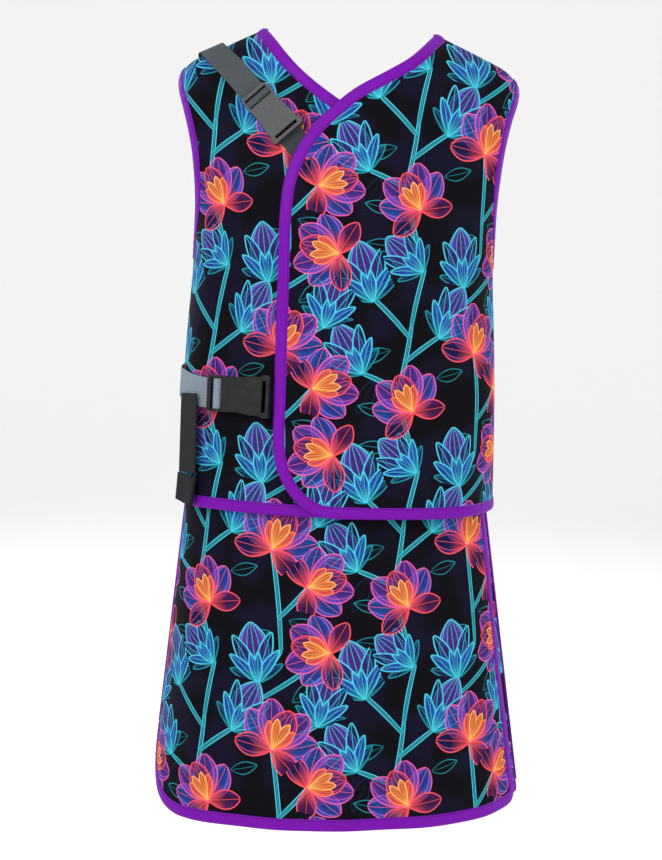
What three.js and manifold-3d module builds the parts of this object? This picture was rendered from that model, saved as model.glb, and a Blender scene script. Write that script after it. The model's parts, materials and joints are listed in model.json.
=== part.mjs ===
// A lead apron of the vest-and-skirt kind: a wrap-front vest over a wrap skirt, held by a shoulder strap
// and a waist strap, each with a side-release buckle. Millimetres, +Z up, the front faces -Y.
// The origin is on the wearer's centre line, level with the tops of the shoulders beside the neck.
import * as THREE from 'three';
import { mergeVertices } from 'three/addons/utils/BufferGeometryUtils.js';
import Module from 'manifold-3d';

const wasm = await Module();
wasm.setup();

// ---- driving dimensions ----------------------------------------------------------------------------
const HEM_Z = -610;              // vest hem
const SHOULDER_TIP_Z = -58;      // outer end of the shoulder seam
const UNDERARM_Z = -289;
const ARMHOLE_HALF = 48;         // half the armhole's width, measured round the body
const SEAM_GAP = 0.3;            // each panel stops this far short of a seam
const BINDING = 14;              // width of the bias binding on each face
const LAYERS = { shell: [0, 1.0], core: [1.3, 3.7], lining: [4.0, 4.8] };   // depths below the face
const CLEAR = 0.3;               // gap between sewn layers
const CLEAR_BELOW = 0.9;         // the same, between the lining and the binding, on the inside of the bend
const TAPE = 0.8;                // thickness of the binding tape
const EDGE_CLEAR = 0.8;          // gap between a panel's rim and the fold of its binding
const UNDER_DEPTH = 10.5;        // how far the right front lies below the flap's face
const FLAP_EDGE_X = -82;         // free edge of the overlapping left front
const UNDER_EDGE_X = 60;         // hidden free edge of the right front
const FOLD_TOP = [45, -57];      // the flap folds back along a line from here ...
const FOLD_HEM = [110, HEM_Z];   // ... to here (x, z)
const SKIRT_TOP_Z = -395;
const SKIRT_HEM_Z = -1003;
const SKIRT_SPLIT_Z = -640;      // below this, just under the vest hem, the skirt front swings open
const SKIRT_LEAN = 0.03;         // the skirt hangs leaning this much (radians) towards +X at its hem
const VENT = 95;                 // radius of the skirt's rounded corners at the wearer's right
const WEBBING = 1.6;             // thickness of the webbing

// Vest form: [height, half-width, depth in front, depth behind]
const VEST_FORM = [
  [HEM_Z - 10, 208, 140, 130], [-500, 205, 134, 116], [-400, 201, 129, 106], [UNDERARM_Z, 194, 134, 110],
  [-230, 197, 133, 113], [-170, 208, 117, 110], [-110, 218, 98, 102], [-70, 219, 85, 90],
  [-47, 203, 74, 78], [-27, 165, 57, 60], [0, 110, 18, 18],
];
// Skirt form: a straight-sided cone, so its side seam is a straight line
const SKIRT_FORM = [[SKIRT_HEM_Z, 246, 165, 160], [SKIRT_TOP_Z, 170, 94, 94]];
const SECTION_POWER = 2.2;       // cross-sections are superellipses of this power

// ---- materials -------------------------------------------------------------------------------------
const finish = (color, roughness) => new THREE.MeshStandardMaterial({ color, roughness, metalness: 0 });
const PRINT = finish(0x141426, 0.75);
const CORE = finish(0x3a3c40, 0.6);
const LINING = finish(0x1b1b20, 0.85);
const VIOLET = finish(0x7a00c8, 0.6);
const GREY_WEB = finish(0x6f7276, 0.8);
const BLACK_WEB = finish(0x25282b, 0.8);
const GREY_PLASTIC = finish(0x5d6064, 0.45);
const BLACK_PLASTIC = finish(0x26282b, 0.4);
const HOOK_TAPE = finish(0x101012, 0.95);

const apron = new THREE.Group();
function add(name, geometry, material, parent = apron) {
  const mesh = new THREE.Mesh(geometry, material);
  mesh.name = name;
  parent.add(mesh);
  return mesh;
}

// ---- small maths -----------------------------------------------------------------------------------
const vec = (x, y, z) => new THREE.Vector3(x, y, z);
const lerp = THREE.MathUtils.lerp;
const signedPower = (value, power) => Math.sign(value) * Math.abs(value) ** power;

// Smooth curve through rows of keys ordered by their first number; returns the other numbers
function throughKeys(keys) {
  const rows = [...keys].sort((a, b) => a[0] - b[0]);
  const slope = (k, n) => {
    const before = rows[Math.max(k - 1, 0)];
    const after = rows[Math.min(k + 1, rows.length - 1)];
    return (after[n] - before[n]) / (after[0] - before[0]);
  };
  return (at) => {
    let k = 0;
    while (k < rows.length - 2 && at > rows[k + 1][0]) k += 1;
    const [a, b] = [rows[k], rows[k + 1]];
    const width = b[0] - a[0];
    const u = (at - a[0]) / width;
    if (u > 1 || u < 0) return a.slice(1).map((v, n) => lerp(v, b[n + 1], u));
    return a.slice(1).map((v, n) => (
      v * (1 + 2 * u) * (1 - u) ** 2 + b[n + 1] * u * u * (3 - 2 * u)
      + width * (slope(k, n + 1) * u * (1 - u) ** 2 + slope(k + 1, n + 1) * u * u * (u - 1))));
  };
}

// ---- the body forms --------------------------------------------------------------------------------
// A form is a stack of cross-sections. The angle runs from +X towards +Y, so the front is at -90 degrees.
function makeForm(keys, place) {
  const size = throughKeys(keys);
  const point = (angle, z) => {
    const [half, front, back] = size(z);
    const [c, s] = [Math.cos(angle), Math.sin(angle)];
    const depth = s < 0 ? front : back;
    const p = 2 / SECTION_POWER;
    return place(vec(half * signedPower(c, p), depth * signedPower(s, p), z));
  };
  const normal = (angle, z) => {
    const round = point(angle + 0.02, z).sub(point(angle - 0.02, z));
    const up = point(angle, z + 1).sub(point(angle, z - 1));
    return round.cross(up).normalize();
  };
  // Table of distances round the body from the centre line to the side, at one height
  const steps = 60;
  const quarter = (z, back) => {
    const angles = [...Array(steps + 1).keys()].map((k) => (k / steps) * (Math.PI / 2));
    const points = angles.map((a) => point(back ? Math.PI / 2 - a : a - Math.PI / 2, z));
    const reach = [0];
    for (let k = 1; k <= steps; k += 1) reach.push(reach[k - 1] + points[k].distanceTo(points[k - 1]));
    return { angles, reach };
  };
  const girth = (z, back) => quarter(z, back).reach[steps];
  const angleAt = (s, z, back) => {
    const { angles, reach } = quarter(z, back);
    const want = Math.min(Math.abs(s), reach[steps]);
    let k = 1;
    while (k < steps && reach[k] < want) k += 1;
    const a = lerp(angles[k - 1], angles[k], (want - reach[k - 1]) / (reach[k] - reach[k - 1]));
    return back ? Math.PI / 2 - Math.sign(s) * a : Math.sign(s) * a - Math.PI / 2;
  };
  // Distance round the body of the place that is x across, at one height
  const acrossAt = (x, z, back) => {
    const ratio = Math.min(Math.abs(x) / size(z)[0], 1);
    const a = Math.asin(ratio ** (SECTION_POWER / 2));
    const { reach } = quarter(z, back);
    const k = Math.min(a / (Math.PI / 2) * steps, steps - 1e-6);
    return Math.sign(x) * lerp(reach[Math.floor(k)], reach[Math.floor(k) + 1], k % 1);
  };
  return { point, normal, girth, angleAt, acrossAt, halfWidth: (z) => size(z)[0] };
}
const vest = makeForm(VEST_FORM, (p) => p);
const skirt = makeForm(SKIRT_FORM, (p) => vec(p.x + SKIRT_LEAN * (HEM_Z - p.z), p.y, p.z + SKIRT_LEAN * p.x));

// ---- closed solids ---------------------------------------------------------------------------------
function solid(triangles) {
  const numbers = triangles.flat().flatMap((p) => [p.x, p.y, p.z]);
  const raw = new THREE.BufferGeometry();
  raw.setAttribute('position', new THREE.Float32BufferAttribute(numbers, 3));
  const merged = mergeVertices(raw, 2e-3);
  const index = merged.getIndex().array;
  const at = merged.getAttribute('position');
  const kept = [];
  let volume = 0;
  const [a, b, c] = [vec(0, 0, 0), vec(0, 0, 0), vec(0, 0, 0)];
  for (let k = 0; k < index.length; k += 3) {
    const [i, j, l] = [index[k], index[k + 1], index[k + 2]];
    if (i === j || j === l || l === i) continue;
    kept.push([i, j, l]);
    b.fromBufferAttribute(at, j).cross(c.fromBufferAttribute(at, l));
    volume += a.fromBufferAttribute(at, i).dot(b);
  }
  merged.setIndex((volume < 0 ? kept.map(([i, j, l]) => [i, l, j]) : kept).flat());
  merged.computeVertexNormals();
  return merged;
}
const quad = (a, b, c, d) => [[a, b, c], [a, c, d]];

function toManifold(geometry) {
  const bare = geometry.clone();
  bare.deleteAttribute('normal');
  bare.deleteAttribute('uv');
  const merged = mergeVertices(bare, 1e-4);
  return new wasm.Manifold(new wasm.Mesh({
    numProp: 3,
    vertProperties: new Float32Array(merged.getAttribute('position').array),
    triVerts: new Uint32Array(merged.getIndex().array),
  }));
}
function fromManifold(manifold) {
  const mesh = manifold.getMesh();
  const geometry = new THREE.BufferGeometry();
  geometry.setAttribute('position', new THREE.Float32BufferAttribute(mesh.vertProperties, 3));
  geometry.setIndex([...mesh.triVerts]);
  geometry.computeVertexNormals();
  return geometry;
}

// ---- fabric panels ---------------------------------------------------------------------------------
const flatDistance = ([x1, y1], [x2, y2]) => Math.hypot(x2 - x1, y2 - y1);
// Spread points along a curve given as a function of 0..1, with fixed first and last steps if asked for
function spread(curve, count, { first = 0, last = 0 } = {}) {
  const samples = [...Array(201).keys()].map((k) => curve(k / 200));
  const reach = [0];
  for (let k = 1; k <= 200; k += 1) {
    reach.push(reach[k - 1] + flatDistance(samples[k], samples[k - 1]));
  }
  const total = reach[200];
  const inner = count - (first ? 1 : 0) - (last ? 1 : 0);
  const even = (total - first - last) / inner;
  return [...Array(count + 1).keys()].map((n) => {
    let want = first ? (n === 0 ? 0 : first + (n - 1) * even) : n * even;
    if (n === count) want = total;
    let k = 1;
    while (k < 200 && reach[k] < want) k += 1;
    const u = (want - reach[k - 1]) / (reach[k] - reach[k - 1]);
    return [lerp(samples[k - 1][0], samples[k][0], u), lerp(samples[k - 1][1], samples[k][1], u)];
  });
}
const join = (...lists) => lists.flatMap((list, n) => (n === 0 ? list : list.slice(1)));

function fractions(one, two) {
  const along = (list) => {
    const reach = [0];
    for (let k = 1; k < list.length; k += 1) {
      reach.push(reach[k - 1] + flatDistance(list[k], list[k - 1]));
    }
    return reach.map((r) => r / reach[reach.length - 1]);
  };
  const [a, b] = [along(one), along(two)];
  return a.map((v, k) => (v + b[k]) / 2);
}

// A panel is a grid of places on a form, filled in between its four edges (a Coons patch).
// Edges hold [distance round the body, height]; depth says how far the panel lies below the form.
// splits says which cells are cut from their (i, j) corner to the opposite one. The four corner cells are cut
// through the panel's corner.
function makePanel({ form, back = false, side, edge, hem, top, depth = () => 0 }) {
  const [nc, nt] = [hem.length - 1, side.length - 1];
  const across = fractions(hem, top);
  const along = fractions(side, edge);
  const grid = [];
  for (let i = 0; i <= nc; i += 1) {
    grid.push([]);
    for (let j = 0; j <= nt; j += 1) {
      const [c, t] = [across[i], along[j]];
      const [s, z] = [0, 1].map((k) => (
        (1 - c) * side[j][k] + c * edge[j][k] + (1 - t) * hem[i][k] + t * top[i][k]
        - (1 - t) * ((1 - c) * side[0][k] + c * edge[0][k]) - t * ((1 - c) * side[nt][k] + c * edge[nt][k])));
      const angle = form.angleAt(s, z, back);
      const normal = form.normal(angle, z);
      const place = form.point(angle, z);
      grid[i].push({ place: place.clone().addScaledVector(normal, -depth(place, s, z)), normal, i, j });
    }
  }
  const splits = grid.slice(0, nc).map((column, i) => column.slice(0, nt).map((_, j) => {
    const atCorner = (i === 0 || i === nc - 1) && (j === 0 || j === nt - 1);
    if (atCorner) return (i === 0) === (j === 0);
    const one = grid[i][j].place.distanceTo(grid[i + 1][j + 1].place);
    return one <= grid[i + 1][j].place.distanceTo(grid[i][j + 1].place);
  }));
  return { grid, splits, nc, nt };
}
const raised = (node, height) => node.place.clone().addScaledVector(node.normal, height);

// One layer of a panel, between two depths below its face
function layer(panel, from, to) {
  const { grid, splits, nc, nt } = panel;
  const triangles = [];
  for (let i = 0; i < nc; i += 1) {
    for (let j = 0; j < nt; j += 1) {
      const cell = [grid[i][j], grid[i + 1][j], grid[i + 1][j + 1], grid[i][j + 1]];
      const [a, b, c, d] = cell.map((node) => raised(node, -from));
      const [e, f, g, h] = cell.map((node) => raised(node, -to));
      if (splits[i][j]) triangles.push([a, b, c], [a, c, d], [e, g, f], [e, h, g]);
      else triangles.push([a, b, d], [b, c, d], [e, h, f], [f, h, g]);
    }
  }
  const rim = boundary(panel);
  rim.forEach(([i, j], k) => {
    const [p, q] = [grid[i][j], grid[rim[(k + 1) % rim.length][0]][rim[(k + 1) % rim.length][1]]];
    triangles.push(...quad(raised(p, -from), raised(p, -to), raised(q, -to), raised(q, -from)));
  });
  return solid(triangles);
}

// The rim of a panel: along the hem, up the far edge, back along the top and down the first side
function boundary({ nc, nt }) {
  const rim = [];
  for (let i = 0; i < nc; i += 1) rim.push([i, 0]);
  for (let j = 0; j < nt; j += 1) rim.push([nc, j]);
  for (let i = nc; i > 0; i -= 1) rim.push([i, nt]);
  for (let j = nt; j > 0; j -= 1) rim.push([0, j]);
  return rim;
}

// Binding: a C-section tape folded over the rim from one rim point to another
function binding(panel, start, end) {
  const { grid, nc, nt } = panel;
  const rim = boundary(panel);
  const find = ([i, j]) => rim.findIndex(([a, b]) => a === i && b === j);
  const count = rim.length;
  const [first, last] = [find(start), find(end)];
  const length = ((last - first + count) % count) + 1;
  const node = (k) => {
    const [i, j] = rim[(first + k + count) % count];
    return grid[i][j];
  };
  const sections = [];
  for (let k = 0; k < length; k += 1) {
    const [i, j] = rim[(first + k) % count];
    const isCorner = (i === 0 || i === nc) && (j === 0 || j === nt);
    const atEnd = k === 0 || k === length - 1;
    const outside = node(k === 0 ? -1 : k + 1);
    const edge = node(k);
    const inner = atEnd && isCorner ? outside
      : grid[THREE.MathUtils.clamp(i, 1, nc - 1)][THREE.MathUtils.clamp(j, 1, nt - 1)];
    // Outwards: square to the rim, in the plane that runs back to the inner row of places at that height
    const at = (height, reach) => {
      const place = raised(edge, height);
      const out = place.clone().sub(raised(atEnd ? outside : inner, height));
      if (!atEnd) {
        const run = raised(node(k + 1), height).sub(raised(node(k - 1), height)).normalize();
        out.addScaledVector(run, -out.dot(run));
      }
      return place.addScaledVector(out.normalize(), reach);
    };
    const [near, far] = [CLEAR, CLEAR + TAPE];
    const [tight, wide] = [EDGE_CLEAR, EDGE_CLEAR + TAPE];
    const deep = LAYERS.lining[1] + CLEAR_BELOW;
    sections.push({
      edge,
      inner,
      loop: [at(far, wide), raised(inner, far), raised(inner, near), at(near, tight),
        at(-deep, tight), raised(inner, -deep), raised(inner, -deep - TAPE), at(-deep - TAPE, wide)],
    });
  }
  const triangles = [];
  for (let k = 0; k + 1 < sections.length; k += 1) {
    const [a, b] = [sections[k], sections[k + 1]];
    const cell = panel.splits[Math.min(a.edge.i, a.inner.i, b.edge.i, b.inner.i)];
    const isForward = cell[Math.min(a.edge.j, a.inner.j, b.edge.j, b.inner.j)];
    const fromEdge = isForward === ((a.edge.i - b.inner.i) * (a.edge.j - b.inner.j) > 0);
    for (let n = 0; n < 8; n += 1) {
      const m = (n + 1) % 8;
      // An arm's faces run edge to inner or inner to edge; both split the way the panel below them does
      const edgeFirst = n === 0 || n === 4;
      const [p, q, r, s] = [a.loop[n], a.loop[m], b.loop[m], b.loop[n]];
      if (fromEdge === edgeFirst) triangles.push([p, q, r], [p, r, s]);
      else triangles.push([p, q, s], [q, r, s]);
    }
  }
  const cap = ({ loop: [a, b, c, d, e, f, g, h] }, flip) => {
    const faces = [...quad(a, b, c, d), ...quad(a, d, e, h), ...quad(h, e, f, g)];
    return flip ? faces.map(([p, q, r]) => [p, r, q]) : faces;
  };
  triangles.push(...cap(sections[0], true), ...cap(sections[sections.length - 1], false));
  return solid(triangles);
}

// A rectangular piece of a panel's grid, for patches sewn onto it
function piece({ grid, splits }, i0, i1, j0, j1) {
  return {
    grid: grid.slice(i0, i1 + 1).map((column) => column.slice(j0, j1 + 1)),
    splits: splits.slice(i0, i1).map((column) => column.slice(j0, j1)),
    nc: i1 - i0,
    nt: j1 - j0,
  };
}

function addLayers(name, panel) {
  const stuff = { shell: PRINT, core: CORE, lining: LINING };
  for (const [part, [from, to]] of Object.entries(LAYERS)) {
    add(`${name}_${part}`, layer(panel, from, to), stuff[part]);
  }
}

// ---- edges of the vest's panels --------------------------------------------------------------------
const chest = new THREE.SplineCurve([[110, 0], [78, -36], FOLD_TOP, [0, -84], [-50, -134], [-76, -188],
  [FLAP_EDGE_X, -245]].map(([x, z]) => new THREE.Vector2(x, z)));
const CHEST_FOLD = 2 / 6;       // places on the chest curve, at its third and sixth points
const CHEST_CORNER = 5 / 6;
const rightNeck = new THREE.SplineCurve([[-110, 0], [-83, -33], [-51, -63], [-13, -91], [28, -117],
  [UNDER_EDGE_X, -140]].map(([x, z]) => new THREE.Vector2(x, z)));
const HEM_CORNER = [75, 95];    // radii of the flap's lower corner

const line = (a, b) => (u) => [lerp(a[0], b[0], u), lerp(a[1], b[1], u)];
const along = (curve, from, to) => (u) => curve.getPoint(lerp(from, to, u)).toArray();
const arc = (centre, radii, from, to) => (u) => {
  const a = THREE.MathUtils.degToRad(lerp(from, to, u));
  return [centre[0] + radii[0] * Math.cos(a), centre[1] + radii[1] * Math.sin(a)];
};
// Turn a curve of (x, height) into one of (distance round the body, height)
const onBody = (form, back, curve) => (u) => {
  const [x, z] = curve(u);
  return [form.acrossAt(x, z, back), z];
};
const sideSeam = (back, sign) => (u) => {
  const z = lerp(HEM_Z, UNDERARM_Z, u);
  return [sign * (vest.girth(z, back) - SEAM_GAP), z];
};
const armhole = (back, sign) => (u) => {
  const z = lerp(UNDERARM_Z, SHOULDER_TIP_Z, u);
  const cut = ARMHOLE_HALF * Math.sin(Math.PI * u) ** 0.8;
  return [sign * (vest.girth(z, back) - SEAM_GAP - cut), z];
};
const shoulderSeam = (back, sign) => (u) => {
  const z = lerp(SHOULDER_TIP_Z, 0, u);
  return [sign * (vest.girth(z, back) - SEAM_GAP), z];
};

const SIDE_ROWS = 4;             // rows below the underarm
const ARM_ROWS = 5;              // rows beside the armhole
const ROWS = SIDE_ROWS + ARM_ROWS;
const SEAM_COLUMNS = 3;          // columns that end on the shoulder seam
const sideEdge = (back, sign) => join(
  spread(sideSeam(back, sign), SIDE_ROWS, { first: BINDING }), spread(armhole(back, sign), ARM_ROWS));

// Left front: the part outside the fold line, from the shoulder to the hem
const foldLine = onBody(vest, false, (u) => {
  const [x, z] = line(FOLD_HEM, FOLD_TOP)(u);
  return [x + SEAM_GAP, z];
});
const leftFront = makePanel({
  form: vest,
  side: sideEdge(false, 1),
  edge: spread(foldLine, ROWS, { first: BINDING, last: BINDING }),
  hem: spread(line([vest.girth(HEM_Z) - SEAM_GAP, HEM_Z],
    [vest.acrossAt(FOLD_HEM[0] + SEAM_GAP, HEM_Z), HEM_Z]), 2 + SEAM_COLUMNS, { first: BINDING }),
  top: join(spread(shoulderSeam(false, 1), SEAM_COLUMNS, { first: BINDING }),
    spread(onBody(vest, false, (u) => {
      const [x, z] = along(chest, 0, CHEST_FOLD)(u);
      return [x + SEAM_GAP * u, z];
    }), 2)),
});
addLayers('left_front', leftFront);
add('left_armhole_front_binding', binding(leftFront, [0, ROWS], [0, SIDE_ROWS]), VIOLET);
add('left_front_hem_binding', binding(leftFront, [0, 0], [leftFront.nc, 0]), VIOLET);
add('left_neck_binding', binding(leftFront, [leftFront.nc, ROWS], [SEAM_COLUMNS, ROWS]), VIOLET);

// Flap: the part of the left front that folds back, overlapping the right front
const FLAP_COLUMNS = 6;
const cornerCentre = [FLAP_EDGE_X + HEM_CORNER[0], HEM_Z + HEM_CORNER[1]];
const flapRun = (u) => {
  const stretch = [arc(cornerCentre, HEM_CORNER, 225, 180),
    line([FLAP_EDGE_X, cornerCentre[1]], [FLAP_EDGE_X, -245]), along(chest, 1, CHEST_CORNER)];
  const k = Math.min(Math.floor(u * 3), 2);
  return stretch[k](u * 3 - k);
};
const flapHem = (u) => (u < 0.5 ? line([FOLD_HEM[0] - SEAM_GAP, HEM_Z], [cornerCentre[0], HEM_Z])(u * 2)
  : arc(cornerCentre, HEM_CORNER, 270, 225)(u * 2 - 1));
const flap = makePanel({
  form: vest,
  side: spread(onBody(vest, false, (u) => {
    const [x, z] = line(FOLD_HEM, FOLD_TOP)(u);
    return [x - SEAM_GAP, z];
  }), ROWS, { first: BINDING, last: BINDING }),
  edge: spread(onBody(vest, false, flapRun), ROWS, { first: BINDING, last: BINDING }),
  hem: spread(onBody(vest, false, flapHem), FLAP_COLUMNS, { last: BINDING }),
  top: spread(onBody(vest, false, (u) => {
    const [x, z] = along(chest, CHEST_FOLD, CHEST_CORNER)(u);
    return [x - SEAM_GAP * (1 - u), z];
  }), FLAP_COLUMNS, { last: BINDING }),
});
addLayers('flap', flap);
add('flap_binding', binding(flap, [0, 0], [0, ROWS]), VIOLET);

// Right front: lies under the flap, and level with it at its own side and shoulder
const smooth = THREE.MathUtils.smoothstep;
const rightFront = makePanel({
  form: vest,
  depth: (p) => UNDER_DEPTH * smooth(p.x, -195, -140) * smooth(-p.z, 12, 75),
  side: sideEdge(false, -1),
  edge: spread(onBody(vest, false, line([UNDER_EDGE_X, HEM_Z], [UNDER_EDGE_X, -140])), ROWS,
    { first: BINDING, last: BINDING }),
  hem: spread(line([-vest.girth(HEM_Z) + SEAM_GAP, HEM_Z], [vest.acrossAt(UNDER_EDGE_X, HEM_Z), HEM_Z]),
    5 + SEAM_COLUMNS, { first: BINDING, last: BINDING }),
  top: join(spread(shoulderSeam(false, -1), SEAM_COLUMNS, { first: BINDING }),
    spread(onBody(vest, false, along(rightNeck, 0, 1)), 5, { last: BINDING })),
});
addLayers('right_front', rightFront);
add('right_armhole_front_binding', binding(rightFront, [0, ROWS], [0, SIDE_ROWS]), VIOLET);
add('right_front_binding', binding(rightFront, [0, 0], [SEAM_COLUMNS, ROWS]), VIOLET);

// Back: from side seam to side seam, with a scooped neck
const BACK_NECK = 100;
const NECK_COLUMNS = 6;
const backPanel = makePanel({
  form: vest,
  back: true,
  side: sideEdge(true, 1),
  edge: sideEdge(true, -1),
  hem: spread(line([vest.girth(HEM_Z, true) - SEAM_GAP, HEM_Z], [-vest.girth(HEM_Z, true) + SEAM_GAP, HEM_Z]),
    NECK_COLUMNS + 2 * SEAM_COLUMNS, { first: BINDING, last: BINDING }),
  top: join(spread(shoulderSeam(true, 1), SEAM_COLUMNS, { first: BINDING }),
    spread(onBody(vest, true, arc([0, 0], [109.7, BACK_NECK], 0, -180)), NECK_COLUMNS),
    spread((u) => shoulderSeam(true, -1)(1 - u), SEAM_COLUMNS, { last: BINDING })),
});
addLayers('back', backPanel);
const BACK = backPanel.nc;
add('left_armhole_back_binding', binding(backPanel, [0, ROWS], [0, SIDE_ROWS]), VIOLET);
add('right_armhole_back_binding', binding(backPanel, [BACK, SIDE_ROWS], [BACK, ROWS]), VIOLET);
add('back_neck_binding', binding(backPanel, [BACK - SEAM_COLUMNS, ROWS], [SEAM_COLUMNS, ROWS]), VIOLET);
add('back_hem_binding', binding(backPanel, [0, 0], [BACK, 0]), VIOLET);

// Hook-and-loop closure between the flap and the right front
const PATCH_TOP = 1.2;           // a patch's face, above the face it is sewn to
const underPatch = [LAYERS.lining[1] + CLEAR, LAYERS.lining[1] + PATCH_TOP];
const facePatch = [-PATCH_TOP, -CLEAR];
add('flap_hook_patch', layer(piece(flap, 2, 4, 4, 5), ...underPatch), HOOK_TAPE);
add('right_front_loop_patch', layer(piece(rightFront, 5, 7, 4, 5), ...facePatch), HOOK_TAPE);

// ---- the skirt -------------------------------------------------------------------------------------
const SEAM_HALF = 2.4;           // room on each side of a seam for its piping
const PIPING_RADIUS = 1.8;
const SKIRT_UNDER = 10;          // how far the side panel lies below the front panel
const FREE_EDGE_SHARE = 0.972;   // the front's free edge, as a share of the half-width
const SIDE_PANEL_SHARE = 0.6;    // the side panel's hidden edge, likewise
const FREE_CORNER = 20;          // radius of the front panel's corner at its free edge
const SPLIT_GAP = 1.5;           // between the skirt front's swinging part and the part above it
const WAISTBAND_HEIGHT = 35;
const WAISTBAND = [-2.0, -0.4];  // raised above the skirt's face

const skirtSeam = (back, sign, from, to) => (u) => {
  const z = lerp(from, to, u);
  return [sign * (skirt.girth(z, back) - SEAM_HALF), z];
};
const skirtAcross = (share, from, to) => (u) => {
  const z = lerp(from, to, u);
  return [skirt.acrossAt(share * skirt.halfWidth(z), z, false), z];
};
const chain = (...curves) => (u) => {
  const k = Math.min(Math.floor(u * curves.length), curves.length - 1);
  return curves[k](u * curves.length - k);
};
const VENT_ROWS = 2;
const ventTop = SKIRT_HEM_Z + VENT;
const ventCentre = (back) => [-(skirt.girth(ventTop, back) - SEAM_HALF) + VENT, ventTop];
const ventRadii = [VENT, VENT];
const freeCentre = [skirtAcross(FREE_EDGE_SHARE, SKIRT_HEM_Z, ventTop)(0)[0] - FREE_CORNER,
  SKIRT_HEM_Z + FREE_CORNER];
const freeRadii = [FREE_CORNER, FREE_CORNER];

const FRONT_COLUMNS = 11;
const frontHem = chain(arc(ventCentre(false), ventRadii, 225, 270),
  line([ventCentre(false)[0], SKIRT_HEM_Z], [freeCentre[0], SKIRT_HEM_Z]),
  arc(freeCentre, freeRadii, 270, 315));
const frontLine = (z) => line(skirtSeam(false, -1, z, z)(0), skirtAcross(FREE_EDGE_SHARE, z, z)(0));
const skirtFrontLower = makePanel({
  form: skirt,
  side: join(spread(arc(ventCentre(false), ventRadii, 225, 180), VENT_ROWS, { first: BINDING }),
    spread(skirtSeam(false, -1, ventTop, SKIRT_SPLIT_Z), 3)),
  edge: spread(chain(arc(freeCentre, freeRadii, 315, 360),
    skirtAcross(FREE_EDGE_SHARE, freeCentre[1], SKIRT_SPLIT_Z)), VENT_ROWS + 3, { first: BINDING }),
  hem: spread(frontHem, FRONT_COLUMNS, { first: BINDING, last: BINDING }),
  top: spread(frontLine(SKIRT_SPLIT_Z), FRONT_COLUMNS, { first: BINDING, last: BINDING }),
});
addLayers('skirt_front', skirtFrontLower);
add('skirt_front_binding', binding(skirtFrontLower, [0, VENT_ROWS], [FRONT_COLUMNS, VENT_ROWS + 3]), VIOLET);

const upperFrom = SKIRT_SPLIT_Z + SPLIT_GAP;
const skirtFrontUpper = makePanel({
  form: skirt,
  side: spread(skirtSeam(false, -1, upperFrom, SKIRT_TOP_Z), 3, { last: WAISTBAND_HEIGHT }),
  edge: spread(skirtAcross(FREE_EDGE_SHARE, upperFrom, SKIRT_TOP_Z), 3, { last: WAISTBAND_HEIGHT }),
  hem: spread(frontLine(upperFrom), FRONT_COLUMNS, { first: BINDING, last: BINDING }),
  top: spread(frontLine(SKIRT_TOP_Z), FRONT_COLUMNS, { first: BINDING, last: BINDING }),
});
addLayers('skirt_front_yoke', skirtFrontUpper);
add('skirt_front_yoke_binding', binding(skirtFrontUpper, [FRONT_COLUMNS, 0], [FRONT_COLUMNS, 3]), VIOLET);
const frontBand = piece(skirtFrontUpper, 0, FRONT_COLUMNS - 2, 2, 3);
add('skirt_front_waistband', layer(frontBand, ...WAISTBAND), BLACK_WEB);

const BACK_COLUMNS = 12;
const backFrom = (z, end) => line(skirtSeam(true, 1, z, z)(0), end);
const skirtBack = makePanel({
  form: skirt,
  back: true,
  side: spread(skirtSeam(true, 1, SKIRT_HEM_Z, SKIRT_TOP_Z), VENT_ROWS + 4,
    { first: BINDING, last: WAISTBAND_HEIGHT }),
  edge: join(spread(arc(ventCentre(true), ventRadii, 225, 180), VENT_ROWS, { first: BINDING }),
    spread(skirtSeam(true, -1, ventTop, SKIRT_TOP_Z), 4, { last: WAISTBAND_HEIGHT })),
  hem: spread(chain(backFrom(SKIRT_HEM_Z, [ventCentre(true)[0], SKIRT_HEM_Z]),
    arc(ventCentre(true), ventRadii, 270, 225)), BACK_COLUMNS, { last: BINDING }),
  top: spread(backFrom(SKIRT_TOP_Z, skirtSeam(true, -1, SKIRT_TOP_Z, SKIRT_TOP_Z)(0)), BACK_COLUMNS,
    { last: BINDING }),
});
addLayers('skirt_back', skirtBack);
add('skirt_back_binding', binding(skirtBack, [0, 0], [BACK_COLUMNS, VENT_ROWS]), VIOLET);
const backBand = piece(skirtBack, 0, BACK_COLUMNS, skirtBack.nt - 1, skirtBack.nt);
add('skirt_back_waistband', layer(backBand, ...WAISTBAND), BLACK_WEB);

// Side panel: from the seam at the wearer's left it runs forward, under the front panel's free edge
const SIDE_COLUMNS = 5;
const sideLine = (z) => line(skirtSeam(false, 1, z, z)(0), skirtAcross(SIDE_PANEL_SHARE, z, z)(0));
const skirtSidePanel = makePanel({
  form: skirt,
  depth: (p, s, z) => SKIRT_UNDER * smooth(skirt.girth(z) - s, SEAM_HALF, 20),
  side: spread(skirtSeam(false, 1, SKIRT_HEM_Z, SKIRT_TOP_Z), 6, { first: BINDING }),
  edge: spread(skirtAcross(SIDE_PANEL_SHARE, SKIRT_HEM_Z, SKIRT_TOP_Z), 6, { first: BINDING }),
  hem: spread(sideLine(SKIRT_HEM_Z), SIDE_COLUMNS, { first: BINDING, last: BINDING }),
  top: spread(sideLine(SKIRT_TOP_Z), SIDE_COLUMNS, { first: BINDING, last: BINDING }),
});
addLayers('skirt_side', skirtSidePanel);
add('skirt_side_binding', binding(skirtSidePanel, [0, 0], [SIDE_COLUMNS, 6]), VIOLET);

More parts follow.
